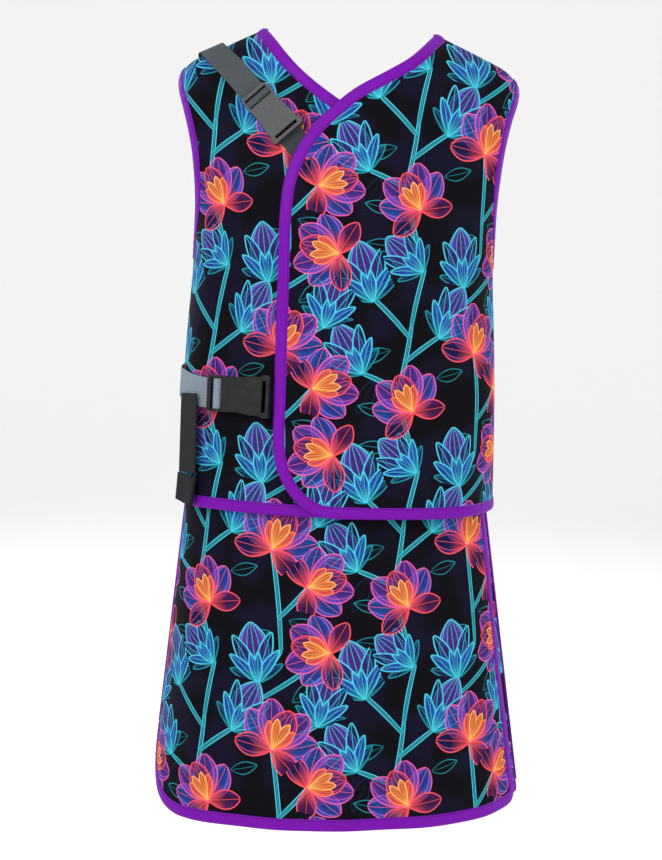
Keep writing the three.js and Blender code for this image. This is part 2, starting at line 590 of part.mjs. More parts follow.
// Piping along both side seams of the skirt
function rod(from, to, radius) {
  const path = new THREE.LineCurve3(from, to);
  const ring = [...Array(8).keys()].map((k) => {
    const a = k * Math.PI / 4;
    return new THREE.Vector2(radius * Math.cos(a), radius * Math.sin(a));
  });
  return new THREE.ExtrudeGeometry(new THREE.Shape(ring), { steps: 1, extrudePath: path });
}
const sidePiping = (angle, from) => (
  rod(skirt.point(angle, from), skirt.point(angle, SKIRT_TOP_Z), PIPING_RADIUS));
add('skirt_right_piping', sidePiping(-Math.PI, ventTop), VIOLET);
add('skirt_left_piping', sidePiping(0, SKIRT_HEM_Z + BINDING), VIOLET);

// Hook-and-loop closure near the waistband, between the front panel and the side panel
const hookPiece = piece(skirtFrontUpper, FRONT_COLUMNS - 3, FRONT_COLUMNS - 2, 1, 2);
add('skirt_hook_patch', layer(hookPiece, ...underPatch), HOOK_TAPE);
add('skirt_loop_patch', layer(piece(skirtSidePanel, 1, 3, 4, 5), ...facePatch), HOOK_TAPE);

// ---- straps and buckles ----------------------------------------------------------------------------
// Webbing: a flat band through stations on its underside, each with the way its face looks
function webbing(stations, width, thickness = WEBBING) {
  const rings = stations.map(({ place, normal }, k) => {
    const before = stations[Math.max(k - 1, 0)].place;
    const after = stations[Math.min(k + 1, stations.length - 1)].place;
    const across = normal.clone().cross(after.clone().sub(before)).normalize().multiplyScalar(width / 2);
    const [left, right] = [place.clone().add(across), place.clone().sub(across)];
    const up = normal.clone().multiplyScalar(thickness);
    return [left, right, right.clone().add(up), left.clone().add(up)];
  });
  const triangles = [];
  for (let k = 0; k + 1 < rings.length; k += 1) {
    for (let n = 0; n < 4; n += 1) {
      const m = (n + 1) % 4;
      triangles.push(...quad(rings[k][n], rings[k + 1][n], rings[k + 1][m], rings[k][m]));
    }
  }
  const [head, tail] = [rings[0], rings[rings.length - 1]];
  triangles.push(...quad(...head), ...quad(tail[3], tail[2], tail[1], tail[0]));
  return solid(triangles);
}
// A station on the vest, lift above (or below) its form
function station(x, z, lift, back = false) {
  const angle = vest.angleAt(vest.acrossAt(x, z, back), z, back);
  const normal = vest.normal(angle, z);
  return { place: vest.point(angle, z).addScaledVector(normal, lift), normal };
}

// Buckle shapes are drawn for 32 mm webbing and scaled. u runs from the ladder-lock end to the sewn end,
// v across, w up from the fabric.
const DRAWN_WEBBING = 32;
const BUCKLE = {
  height: 10, restHeight: 1.2,
  plug: { from: -37, to: -15, half: 19 }, slots: [[-32.5, -27.5], [-23.5, -19]], slotHalf: 16.6,
  prong: [3, 7],
  socket: { from: -14.6, to: 26, half: 20.5 }, bar: { to: 37, half: 22.5 }, barSlot: [28.5, 33],
  cavity: { to: 22, half: 18.4, from: 2.4, up: 7.6 }, windows: [7, 21],
};
const PRONG = [[-14.5, 7.5], [8, 8.5], [20, 9.5], [19, 13], [9.5, 17.6], [7.5, 13.5], [-6, 12.5],
  [-14.5, 12.5]];

const outline = (points) => new THREE.Shape(points.map(([u, v]) => new THREE.Vector2(u, v)));
const slab = (shape, from, to) => new THREE.ExtrudeGeometry(shape, { depth: to - from, bevelEnabled: false })
  .translate(0, 0, from);
const block = (u0, u1, v0, v1, w0, w1) => toManifold(
  new THREE.BoxGeometry(u1 - u0, v1 - v0, w1 - w0).translate((u0 + u1) / 2, (v0 + v1) / 2, (w0 + w1) / 2));

function plugShape() {
  const { plug, slots, slotHalf, height } = BUCKLE;
  const shape = outline([[plug.from, -plug.half + 3], [plug.from + 3, -plug.half], [plug.to, -plug.half],
    [plug.to, plug.half], [plug.from + 3, plug.half], [plug.from, plug.half - 3]]);
  let body = toManifold(slab(shape, 1, height - 1));
  slots.forEach(([a, b]) => { body = body.subtract(block(a, b, -slotHalf, slotHalf, 0, height)); });
  // The webbing enters under the first bar
  return body.subtract(block(plug.from - 1, slots[0][0] + 1, -slotHalf, slotHalf, 0, 4.2));
}
function socketShape() {
  const { socket, bar, barSlot, slotHalf, cavity, windows, height } = BUCKLE;
  const half = (sign) => [[socket.from, 18.8], [socket.from + 12, 18.2], [socket.to - 12, socket.half],
    [socket.to, socket.half], [socket.to + 4, bar.half], [bar.to - 2, bar.half], [bar.to, bar.half - 2]]
    .map(([u, v]) => [u, sign * v]);
  const shape = outline([...half(-1), ...half(1).reverse()]);
  const inner = cavity.half - 1.6;
  let body = toManifold(slab(shape, 0, height))
    .subtract(block(...barSlot, -slotHalf, slotHalf, -1, height + 1))
    .subtract(block(socket.from - 1, cavity.to, -inner, inner, cavity.from, cavity.up));
  for (const side of [-1, 1]) {
    const [v0, v1] = side < 0 ? [-30, -12] : [12, 30];
    body = body.subtract(block(...windows, v0, v1, cavity.from, cavity.up));
  }
  return body.subtract(block(barSlot[1] - 1, bar.to + 1, -slotHalf, slotHalf, -1, 3.2));
}
const prongShape = (side) => toManifold(slab(outline((side > 0 ? PRONG : [...PRONG].reverse())
  .map(([u, v]) => [u, side * v])), ...BUCKLE.prong));

// Lay a buckle on the vest: centre (x, z), heading (x, z) towards its sewn end, webbing width
function layBuckle(name, { centre, heading, width, plastic }) {
  const scale = width / DRAWN_WEBBING;
  const here = station(...centre, 0);
  const ahead = station(centre[0] + heading[0], centre[1] + heading[1], 0);
  const w = here.normal;
  const v = w.clone().cross(ahead.place.clone().sub(here.place)).normalize();
  const u = v.clone().cross(w).normalize();
  const group = new THREE.Group();
  const origin = here.place.clone().addScaledVector(w, -UNDER_DEPTH + BUCKLE.restHeight);
  group.position.copy(origin);
  group.quaternion.setFromRotationMatrix(new THREE.Matrix4().makeBasis(u, v, w));
  group.scale.setScalar(scale);
  apron.add(group);
  add(`${name}_plug`, fromManifold(plugShape()), plastic, group);
  add(`${name}_prong_upper`, fromManifold(prongShape(1)), plastic, group);
  add(`${name}_prong_lower`, fromManifold(prongShape(-1)), plastic, group);
  add(`${name}_socket`, fromManifold(socketShape()), plastic, group);
  const inBuckle = (a, b, c) => origin.clone().addScaledVector(u, a * scale).addScaledVector(v, b * scale)
    .addScaledVector(w, c * scale);
  return { inBuckle, u, v, w, place: (a, c) => ({ place: inBuckle(a, 0, c), normal: w }) };
}
const UNDER_FLAP = -9.7;         // underside of a tab, between the right front and the flap
const TAB_DIP = 36;              // just past the bar, a tab drops to the fabric
// A tab runs from the socket's bar to a row of places further along the buckle's heading, under the flap
const sewnTab = (buckle, { centre, heading, width }, distances) => {
  const unit = Math.hypot(...heading);
  const sewn = distances.map((d) => (
    station(centre[0] + heading[0] / unit * d, centre[1] + heading[1] / unit * d, UNDER_FLAP)));
  return webbing([buckle.place(30.5, 0.8), buckle.place(TAB_DIP, -1.2), ...sewn], width);
};

const SHOULDER = { centre: [-98, -111], heading: [45, -48], width: 32, plastic: GREY_PLASTIC };
const shoulder = layBuckle('shoulder_buckle', SHOULDER);
const SIDE = 1e6;                // far beyond the side, so a station lands on the side seam
add('shoulder_strap', webbing([station(-193, -118, 2.2, true), station(-191, -92, 2.6, true),
  station(-187, -68, 3, true), station(-181, -48, 3.6, true), station(-SIDE, -33, 4.2),
  station(-164, -44, 2.5), station(-148, -58, 0), shoulder.place(-42, 1.4), shoulder.place(-29, 1.4)],
SHOULDER.width), GREY_WEB);
add('shoulder_tab', sewnTab(shoulder, SHOULDER, [50, 62, 76]), GREY_WEB);

const WAIST = { centre: [-128, -463], heading: [50, 0], width: 38, plastic: BLACK_PLASTIC };
const waist = layBuckle('waist_buckle', WAIST);
add('waist_strap', webbing([station(-150, -448, 2.6, true), station(-172, -450, 2.6, true),
  station(-190, -452, 2.6, true), station(-199, -454, 2.6, true), station(-SIDE, -456, 2.6),
  station(-197, -458, 2.6), station(-187, -461, 2.6), waist.place(-40, 1.4), waist.place(-29, 1.4)],
WAIST.width), GREY_WEB);
add('waist_tab', sewnTab(waist, WAIST, [44.5, 56, 70]), BLACK_WEB);

// The waist strap's free end hangs from the plug, and ends in a stitched fold three layers thick
const TAIL_X = -186;
const TAIL_HEIGHTS = [-467, -500, -535, -568];
const TAIL_LIFT = 6.5;
const FOLD_LIFT = 5.2;
const FOLD_HEIGHTS = [-572, -607];
const FOLD_SLANT = 3;            // the fold runs this far further out at its lower end
const tail = TAIL_HEIGHTS.map((z) => station(TAIL_X, z, TAIL_LIFT));
add('waist_tail', webbing(tail, WAIST.width), BLACK_WEB);
const fold = FOLD_HEIGHTS.map((z, k) => station(TAIL_X - k * FOLD_SLANT, z, FOLD_LIFT));
add('waist_tail_fold', webbing(fold, WAIST.width, 3 * WEBBING), BLACK_WEB);

export default apron;
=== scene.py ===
"""A lead apron: a wrap vest over a wrap skirt, with bound edges, webbing straps and side-release buckles.

Shapes are worked out in millimetres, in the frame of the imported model. Each mesh is scaled to metres.
Cloth places are pairs: the distance round the body from its centre line, and the height.
"""

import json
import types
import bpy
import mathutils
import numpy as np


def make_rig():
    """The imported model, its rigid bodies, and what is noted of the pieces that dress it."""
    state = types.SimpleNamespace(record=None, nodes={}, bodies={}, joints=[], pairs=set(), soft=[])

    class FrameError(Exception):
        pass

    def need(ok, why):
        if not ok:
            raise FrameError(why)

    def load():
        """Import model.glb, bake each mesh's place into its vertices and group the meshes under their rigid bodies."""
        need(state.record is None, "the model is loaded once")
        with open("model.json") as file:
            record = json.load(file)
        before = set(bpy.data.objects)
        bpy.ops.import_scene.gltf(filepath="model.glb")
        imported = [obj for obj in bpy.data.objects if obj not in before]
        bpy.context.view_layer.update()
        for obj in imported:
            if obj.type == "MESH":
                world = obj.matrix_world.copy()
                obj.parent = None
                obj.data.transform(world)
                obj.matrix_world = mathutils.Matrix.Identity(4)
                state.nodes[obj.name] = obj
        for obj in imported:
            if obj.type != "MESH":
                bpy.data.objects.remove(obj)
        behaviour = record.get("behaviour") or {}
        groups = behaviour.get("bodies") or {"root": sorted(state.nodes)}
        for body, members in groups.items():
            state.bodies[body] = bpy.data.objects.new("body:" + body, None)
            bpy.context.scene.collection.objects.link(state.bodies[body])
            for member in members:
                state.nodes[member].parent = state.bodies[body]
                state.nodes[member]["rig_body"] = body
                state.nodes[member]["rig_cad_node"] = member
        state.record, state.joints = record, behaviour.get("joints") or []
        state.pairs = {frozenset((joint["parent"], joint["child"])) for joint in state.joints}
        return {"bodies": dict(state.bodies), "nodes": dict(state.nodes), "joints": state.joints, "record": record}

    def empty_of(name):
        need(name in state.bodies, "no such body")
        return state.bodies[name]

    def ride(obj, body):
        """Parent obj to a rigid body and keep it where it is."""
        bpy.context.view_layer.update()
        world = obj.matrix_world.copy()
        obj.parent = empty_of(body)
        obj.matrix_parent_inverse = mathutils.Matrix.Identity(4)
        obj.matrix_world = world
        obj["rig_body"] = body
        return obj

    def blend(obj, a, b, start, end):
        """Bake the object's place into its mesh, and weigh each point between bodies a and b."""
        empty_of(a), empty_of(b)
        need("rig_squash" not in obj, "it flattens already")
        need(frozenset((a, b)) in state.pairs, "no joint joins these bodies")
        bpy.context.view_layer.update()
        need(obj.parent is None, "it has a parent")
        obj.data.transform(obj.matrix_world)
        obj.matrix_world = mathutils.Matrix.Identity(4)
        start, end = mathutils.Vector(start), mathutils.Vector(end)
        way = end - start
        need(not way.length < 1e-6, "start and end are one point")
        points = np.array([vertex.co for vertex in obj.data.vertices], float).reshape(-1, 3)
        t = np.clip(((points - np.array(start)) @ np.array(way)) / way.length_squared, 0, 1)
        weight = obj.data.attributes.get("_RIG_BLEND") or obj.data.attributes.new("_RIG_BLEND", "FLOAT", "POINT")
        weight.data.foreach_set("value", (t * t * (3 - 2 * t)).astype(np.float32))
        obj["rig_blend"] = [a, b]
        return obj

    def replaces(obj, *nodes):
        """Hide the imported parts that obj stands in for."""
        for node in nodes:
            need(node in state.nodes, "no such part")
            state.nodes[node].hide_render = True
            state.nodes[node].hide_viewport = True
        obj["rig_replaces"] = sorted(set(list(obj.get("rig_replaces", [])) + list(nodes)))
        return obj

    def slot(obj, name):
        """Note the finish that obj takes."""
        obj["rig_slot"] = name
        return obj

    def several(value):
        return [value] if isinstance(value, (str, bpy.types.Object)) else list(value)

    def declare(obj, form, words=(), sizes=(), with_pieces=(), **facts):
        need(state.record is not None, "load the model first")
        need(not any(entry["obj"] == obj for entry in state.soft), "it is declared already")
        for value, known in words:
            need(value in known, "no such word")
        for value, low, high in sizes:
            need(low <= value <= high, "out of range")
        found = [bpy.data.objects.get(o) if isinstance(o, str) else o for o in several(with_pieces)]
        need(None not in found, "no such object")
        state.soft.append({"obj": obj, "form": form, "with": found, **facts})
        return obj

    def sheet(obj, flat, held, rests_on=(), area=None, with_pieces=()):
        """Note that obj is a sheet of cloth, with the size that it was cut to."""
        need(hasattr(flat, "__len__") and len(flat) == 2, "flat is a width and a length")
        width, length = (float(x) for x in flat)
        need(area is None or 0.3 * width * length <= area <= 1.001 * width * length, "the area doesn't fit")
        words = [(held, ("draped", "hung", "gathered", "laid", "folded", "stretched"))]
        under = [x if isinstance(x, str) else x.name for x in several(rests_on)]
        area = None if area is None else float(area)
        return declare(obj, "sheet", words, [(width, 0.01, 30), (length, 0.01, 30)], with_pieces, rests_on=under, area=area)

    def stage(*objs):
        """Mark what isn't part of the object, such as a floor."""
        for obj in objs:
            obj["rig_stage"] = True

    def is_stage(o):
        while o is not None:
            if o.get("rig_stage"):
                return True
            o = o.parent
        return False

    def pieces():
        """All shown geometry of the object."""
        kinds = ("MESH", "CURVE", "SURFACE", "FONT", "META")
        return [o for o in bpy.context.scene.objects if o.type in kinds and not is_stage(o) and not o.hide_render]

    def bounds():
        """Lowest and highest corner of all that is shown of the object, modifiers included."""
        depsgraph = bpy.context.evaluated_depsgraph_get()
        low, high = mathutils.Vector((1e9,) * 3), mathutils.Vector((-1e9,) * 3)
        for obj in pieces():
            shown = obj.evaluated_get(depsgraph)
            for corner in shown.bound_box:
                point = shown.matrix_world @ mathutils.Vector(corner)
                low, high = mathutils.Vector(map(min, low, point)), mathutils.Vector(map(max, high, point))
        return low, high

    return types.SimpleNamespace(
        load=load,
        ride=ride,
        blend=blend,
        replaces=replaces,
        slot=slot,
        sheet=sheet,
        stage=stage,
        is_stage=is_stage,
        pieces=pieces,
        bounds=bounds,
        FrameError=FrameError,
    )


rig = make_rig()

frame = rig.load()

import json
import math

import bmesh
import bpy
import numpy as np
from mathutils import Matrix, Vector

cad_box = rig.bounds()
MM = 0.001

# ---- camera, floor and light ------------------------------------------------------------------------
CAMERA_PLACE = (-0.048, -2.315, -0.244)
CAMERA_YAW, CAMERA_PITCH, CAMERA_ROLL = -0.017, 0.117, 0.033
CAMERA_HEIGHT_ANGLE = math.radians(27.3)
FLOOR_Z = -1.30
WALL_Y, WALL_CURVE, STAGE_REACH = 7.0, 3.0, 20.0
MIDDLE = (0, 0, -0.5)            # where the lights point
WORLD_STRENGTH = 0.92
# Each light's place, size in metres and power in watts
LIGHTS = {
    "key": ((-1.6, -2.6, 1.4), 1.6, 62),
    "fill": ((2.4, -2.2, 0.2), 2.2, 30),
    "rim_left": ((-2.2, 1.8, 0.6), 1.2, 26),
    "rim_right": ((2.2, 1.8, 0.6), 1.2, 26),
}


def make_camera():
    """The photograph's camera, turned by its yaw, pitch and roll from facing along +Y."""
    data = bpy.data.cameras.new("camera")
    data.sensor_fit = "VERTICAL"
    data.angle = CAMERA_HEIGHT_ANGLE
    camera = bpy.data.objects.new("camera", data)
    yaw, pitch, roll = CAMERA_YAW, CAMERA_PITCH, CAMERA_ROLL
    forward = Vector((-math.sin(yaw) * math.cos(pitch), math.cos(yaw) * math.cos(pitch), -math.sin(pitch)))
    level = Vector((math.cos(yaw), math.sin(yaw), 0))
    upright = level.cross(forward)
    right = math.cos(roll) * level + math.sin(roll) * upright
    up = right.cross(forward)
    turn = Matrix((right, up, -forward)).transposed()
    camera.matrix_world = Matrix.Translation(CAMERA_PLACE) @ turn.to_4x4()
    bpy.context.collection.objects.link(camera)
    bpy.context.scene.camera = camera


def area_light(name, place, size, power):
    """A square light that looks at the middle of the apron."""
    data = bpy.data.lights.new(name, "AREA")
    data.size = size
    data.energy = power
    light = bpy.data.objects.new(name, data)
    light.location = place
    light.rotation_euler = (Vector(MIDDLE) - Vector(place)).to_track_quat("-Z", "Y").to_euler()
    bpy.context.collection.objects.link(light)


def make_backdrop():
    """A pale floor that curves up into a wall well behind the apron."""
    turns = [math.radians(a) for a in range(0, 91, 6)]
    curve = [(WALL_Y - WALL_CURVE * (1 - math.sin(a)), FLOOR_Z + WALL_CURVE * (1 - math.cos(a)))
             for a in turns]
    profile = [(-STAGE_REACH, FLOOR_Z)] + curve + [(WALL_Y, STAGE_REACH)]
    corners = [(x, y, z) for y, z in profile for x in (-STAGE_REACH, STAGE_REACH)]
    faces = [(2 * k, 2 * k + 1, 2 * k + 3, 2 * k + 2) for k in range(len(profile) - 1)]
    mesh = bpy.data.meshes.new("floor")
    mesh.from_pydata(corners, [], faces)
    mesh.shade_smooth()
    floor = bpy.data.objects.new("floor", mesh)
    bpy.context.collection.objects.link(floor)
    return floor


def make_studio():
    """Soft white light all round, four area lights and a pale floor."""
    bpy.context.scene.view_settings.view_transform = "Standard"
    for name, (place, size, power) in LIGHTS.items():
        area_light(name, place, size, power)
    world = bpy.data.worlds.new("studio")
    bpy.context.scene.world = world
    world.use_nodes = True
    background = world.node_tree.nodes["Background"]
    background.inputs["Color"].default_value = (1, 1, 1, 1)
    background.inputs["Strength"].default_value = WORLD_STRENGTH
    floor = make_backdrop()
    material = bpy.data.materials.new("pale_floor")
    material.use_nodes = True
    paint = material.node_tree.nodes["Principled BSDF"]
    paint.inputs["Base Color"].default_value = (0.9, 0.9, 0.9, 1)
    paint.inputs["Roughness"].default_value = 0.8
    floor.data.materials.append(material)
    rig.stage(floor)


# ---- shader graphs ----------------------------------------------------------------------------------
def srgb(red, green, blue):
    """A display colour, 0 to 255, as the linear colour that shaders take."""
    linear = [((v / 255 + 0.055) / 1.055) ** 2.4 if v > 10 else v / 255 / 12.92 for v in (red, green, blue)]
    return (*linear, 1.0)


class Graph:
    """Adds nodes to a tree. An input may be another node's output socket or a plain value."""

    def __init__(self, tree):
        self.tree = tree

    def add(self, kind, inputs=(), **settings):
        node = self.tree.nodes.new(kind)
        for key, value in settings.items():
            setattr(node, key, value)
        for key, value in dict(inputs).items():
            self.feed(node.inputs[key], value)
        return node

    def feed(self, socket, value):
        if isinstance(value, bpy.types.NodeSocket):
            self.tree.links.new(value, socket)
        else:
            socket.default_value = value

    def math(self, operation, *values):
        return self.add("ShaderNodeMath", enumerate(values), operation=operation).outputs[0]

    def vector(self, operation, *values):
        return self.add("ShaderNodeVectorMath", enumerate(values), operation=operation).outputs[0]

    def ramp(self, value, low, high, to_low=0.0, to_high=1.0):
        """Smoothly from to_low at low to to_high at high."""
        inputs = {"Value": value, "From Min": low, "From Max": high, "To Min": to_low, "To Max": to_high}
        return self.add("ShaderNodeMapRange", inputs, interpolation_type="SMOOTHSTEP").outputs[0]

    def mix(self, factor, a, b):
        """The colour a at factor 0 and b at factor 1. Inputs 6 and 7 are the node's colour sockets."""
        return self.add("ShaderNodeMix", {0: factor, 6: a, 7: b}, data_type="RGBA").outputs[2]

    def noise(self, where, scale, detail=2.0, roughness=0.5):
        inputs = {"Vector": where, "Scale": scale, "Detail": detail, "Roughness": roughness}
        return self.add("ShaderNodeTexNoise", inputs).outputs[0]

    def bump(self, height, strength, distance):
        inputs = {"Height": height, "Strength": strength, "Distance": distance}
        return self.add("ShaderNodeBump", inputs).outputs[0]


def new_material(name, **values):
    """A material with a principled shader; values set the shader's own sockets."""
    material = bpy.data.materials.new(name)
    material.use_nodes = True
    graph = Graph(material.node_tree)
    shader = material.node_tree.nodes["Principled BSDF"]
    for key, value in values.items():
        shader.inputs[key.replace("_", " ")].default_value = value
    return material, graph, shader


def cloth_place(graph):
    """Millimetres on the cloth: round the body and up it on a panel, along and across on tape or webbing."""
    return graph.add("ShaderNodeUVMap", uv_map="cloth").outputs[0]


# ---- the floral print -------------------------------------------------------------------------------
TILE = (260.0, 250.0)            # the repeat, in mm
PRINT_DEPTH = 0.22               # how far the inks sink into the black cloth
CYAN = srgb(72, 200, 222)
TEAL = srgb(24, 138, 150)
DEEP_TEAL = srgb(8, 70, 84)
BLUE = srgb(44, 84, 190)
NAVY = srgb(26, 32, 100)
VIOLET = srgb(96, 62, 176)
PLUM = srgb(84, 28, 92)
CORAL = srgb(250, 84, 92)
PINK = srgb(236, 92, 160)
ORANGE = srgb(255, 132, 60)
AMBER = srgb(255, 176, 96)
DIM = srgb(24, 34, 74)
BLACK = srgb(7, 6, 12)

# The repeat's layout, in mm. A stem runs from one x, y to another and bows to one side. A leaf or flower has
# its foot at x, y, then a heading and a size.
STEMS = ((100, -50, 72, 50, -8), (72, 50, 86, 130, 6), (86, 130, 100, 200, -5), (72, 50, 28, 70, 4),
         (80, 86, 124, 118, -4), (84, 116, 36, 164, 5), (190, -30, 178, 96, 8), (178, 96, 160, 180, -6),
         (160, 180, 190, 220, 5), (186, 10, 224, 50, 4), (178, 90, 236, 128, -5), (166, 160, 252, 218, 6))
LEAVES = ((60, 100, 196, 1), (112, 152, 14, 1), (58, 20, 158, 0.9), (204, 156, 36, 1), (150, 132, 172, 0.9),
          (214, 104, 332, 0.9), (140, 232, 12, 0.9), (62, 226, 166, 0.9), (122, 66, 8, 0.9), (200, 8, 340, 1))
SHADES = ((140, 96, 100, 1), (8, 184, 66, 0.9), (206, 186, 80, 1), (20, 20, 60, 1))
BUDS = ((36, 160, 106, 1.2), (124, 116, 60, 1.15), (98, 198, 140, 1.0), (160, 178, 98, 1.2),
        (236, 126, 76, 1.1), (26, 70, 120, 1.1))
BLOOMS = ((178, 96, 66, 1.1), (224, 50, 18, 1.0), (-8, 218, 172, 1.0), (92, 24, 120, 1.0))


def petal_group():
    """One petal, leaf, sepal or stem over what lies under it. It starts at the origin and runs along x."""
    tree = bpy.data.node_groups.new("petal", "ShaderNodeTree")
    numbers = ("X", "Y", "Length", "Half Width", "Belly", "Round", "Bend", "Veins", "Fill", "Line")
    sockets = {"Under": "Color", **dict.fromkeys(numbers, "Float")}
    sockets |= dict.fromkeys(("Base", "Tip", "Rim"), "Color")
    for name, kind in sockets.items():
        tree.interface.new_socket(name, in_out="INPUT", socket_type=f"NodeSocket{kind}")
    tree.interface.new_socket("Result", in_out="OUTPUT", socket_type="NodeSocketColor")
    g = Graph(tree)
    given = g.add("NodeGroupInput").outputs
    share = g.math("DIVIDE", given["X"], given["Length"])
    within = g.math("MULTIPLY", g.math("GREATER_THAN", share, 0.0), g.math("LESS_THAN", share, 1.0))
    p = g.math("MINIMUM", g.math("MAXIMUM", share, 0.001), 0.999)
    across = g.math("SUBTRACT", given["Y"], g.math("MULTIPLY", given["Bend"], g.math("MULTIPLY", p, p)))
    turn = g.math("MULTIPLY", g.math("POWER", p, given["Belly"]), math.pi)
    swell = g.math("POWER", g.math("SINE", turn), given["Round"])
    half = g.math("MULTIPLY", given["Half Width"], swell)
    # The outline's slope, which turns a gap measured across into one measured square to the outline
    rate = g.math("MULTIPLY", g.math("MULTIPLY", half, given["Round"]), math.pi)
    slope = g.math("DIVIDE", g.math("DIVIDE", rate, g.math("TANGENT", turn)), given["Length"])
    stretch = g.math("SQRT", g.math("ADD", g.math("MULTIPLY", slope, slope), 1.0))
    gap = g.math("DIVIDE", g.math("SUBTRACT", g.math("ABSOLUTE", across), half), stretch)
    inside = g.math("MULTIPLY", g.ramp(gap, -0.3, 0.3, 1.0, 0.0), within)
    rim = g.math("MULTIPLY", g.ramp(g.math("ABSOLUTE", gap), 0.3, given["Line"], 1.0, 0.0), within)
    lane = g.math("DIVIDE", given["Veins"], g.math("ADD", g.math("MULTIPLY", half, 2.0), 0.01))
    offset = g.math("FRACT", g.math("ADD", g.math("MULTIPLY", across, lane), 0.5))
    vein_gap = g.math("DIVIDE", g.math("ABSOLUTE", g.math("SUBTRACT", offset, 0.5)), lane)
    vein = g.math("MULTIPLY", g.ramp(vein_gap, 0.12, 0.62, 0.75, 0.0), inside)
    edge_share = g.math("DIVIDE", g.math("ABSOLUTE", across), g.math("ADD", half, 0.01))
    shade = g.ramp(edge_share, 0.1, 1.0, 0.55, 0.0)
    body = g.mix(shade, g.mix(g.ramp(p, 0.05, 0.6), given["Base"], given["Tip"]), BLACK)
    filled = g.mix(g.math("MULTIPLY", inside, given["Fill"]), given["Under"], body)
    line = g.math("MAXIMUM", rim, vein)
    ink = g.mix(g.ramp(p, 0.1, 0.5), given["Base"], given["Rim"])
    result = g.mix(line, filled, g.mix(0.55, ink, given["Rim"]))
    g.add("NodeGroupOutput", {0: result})
    return tree


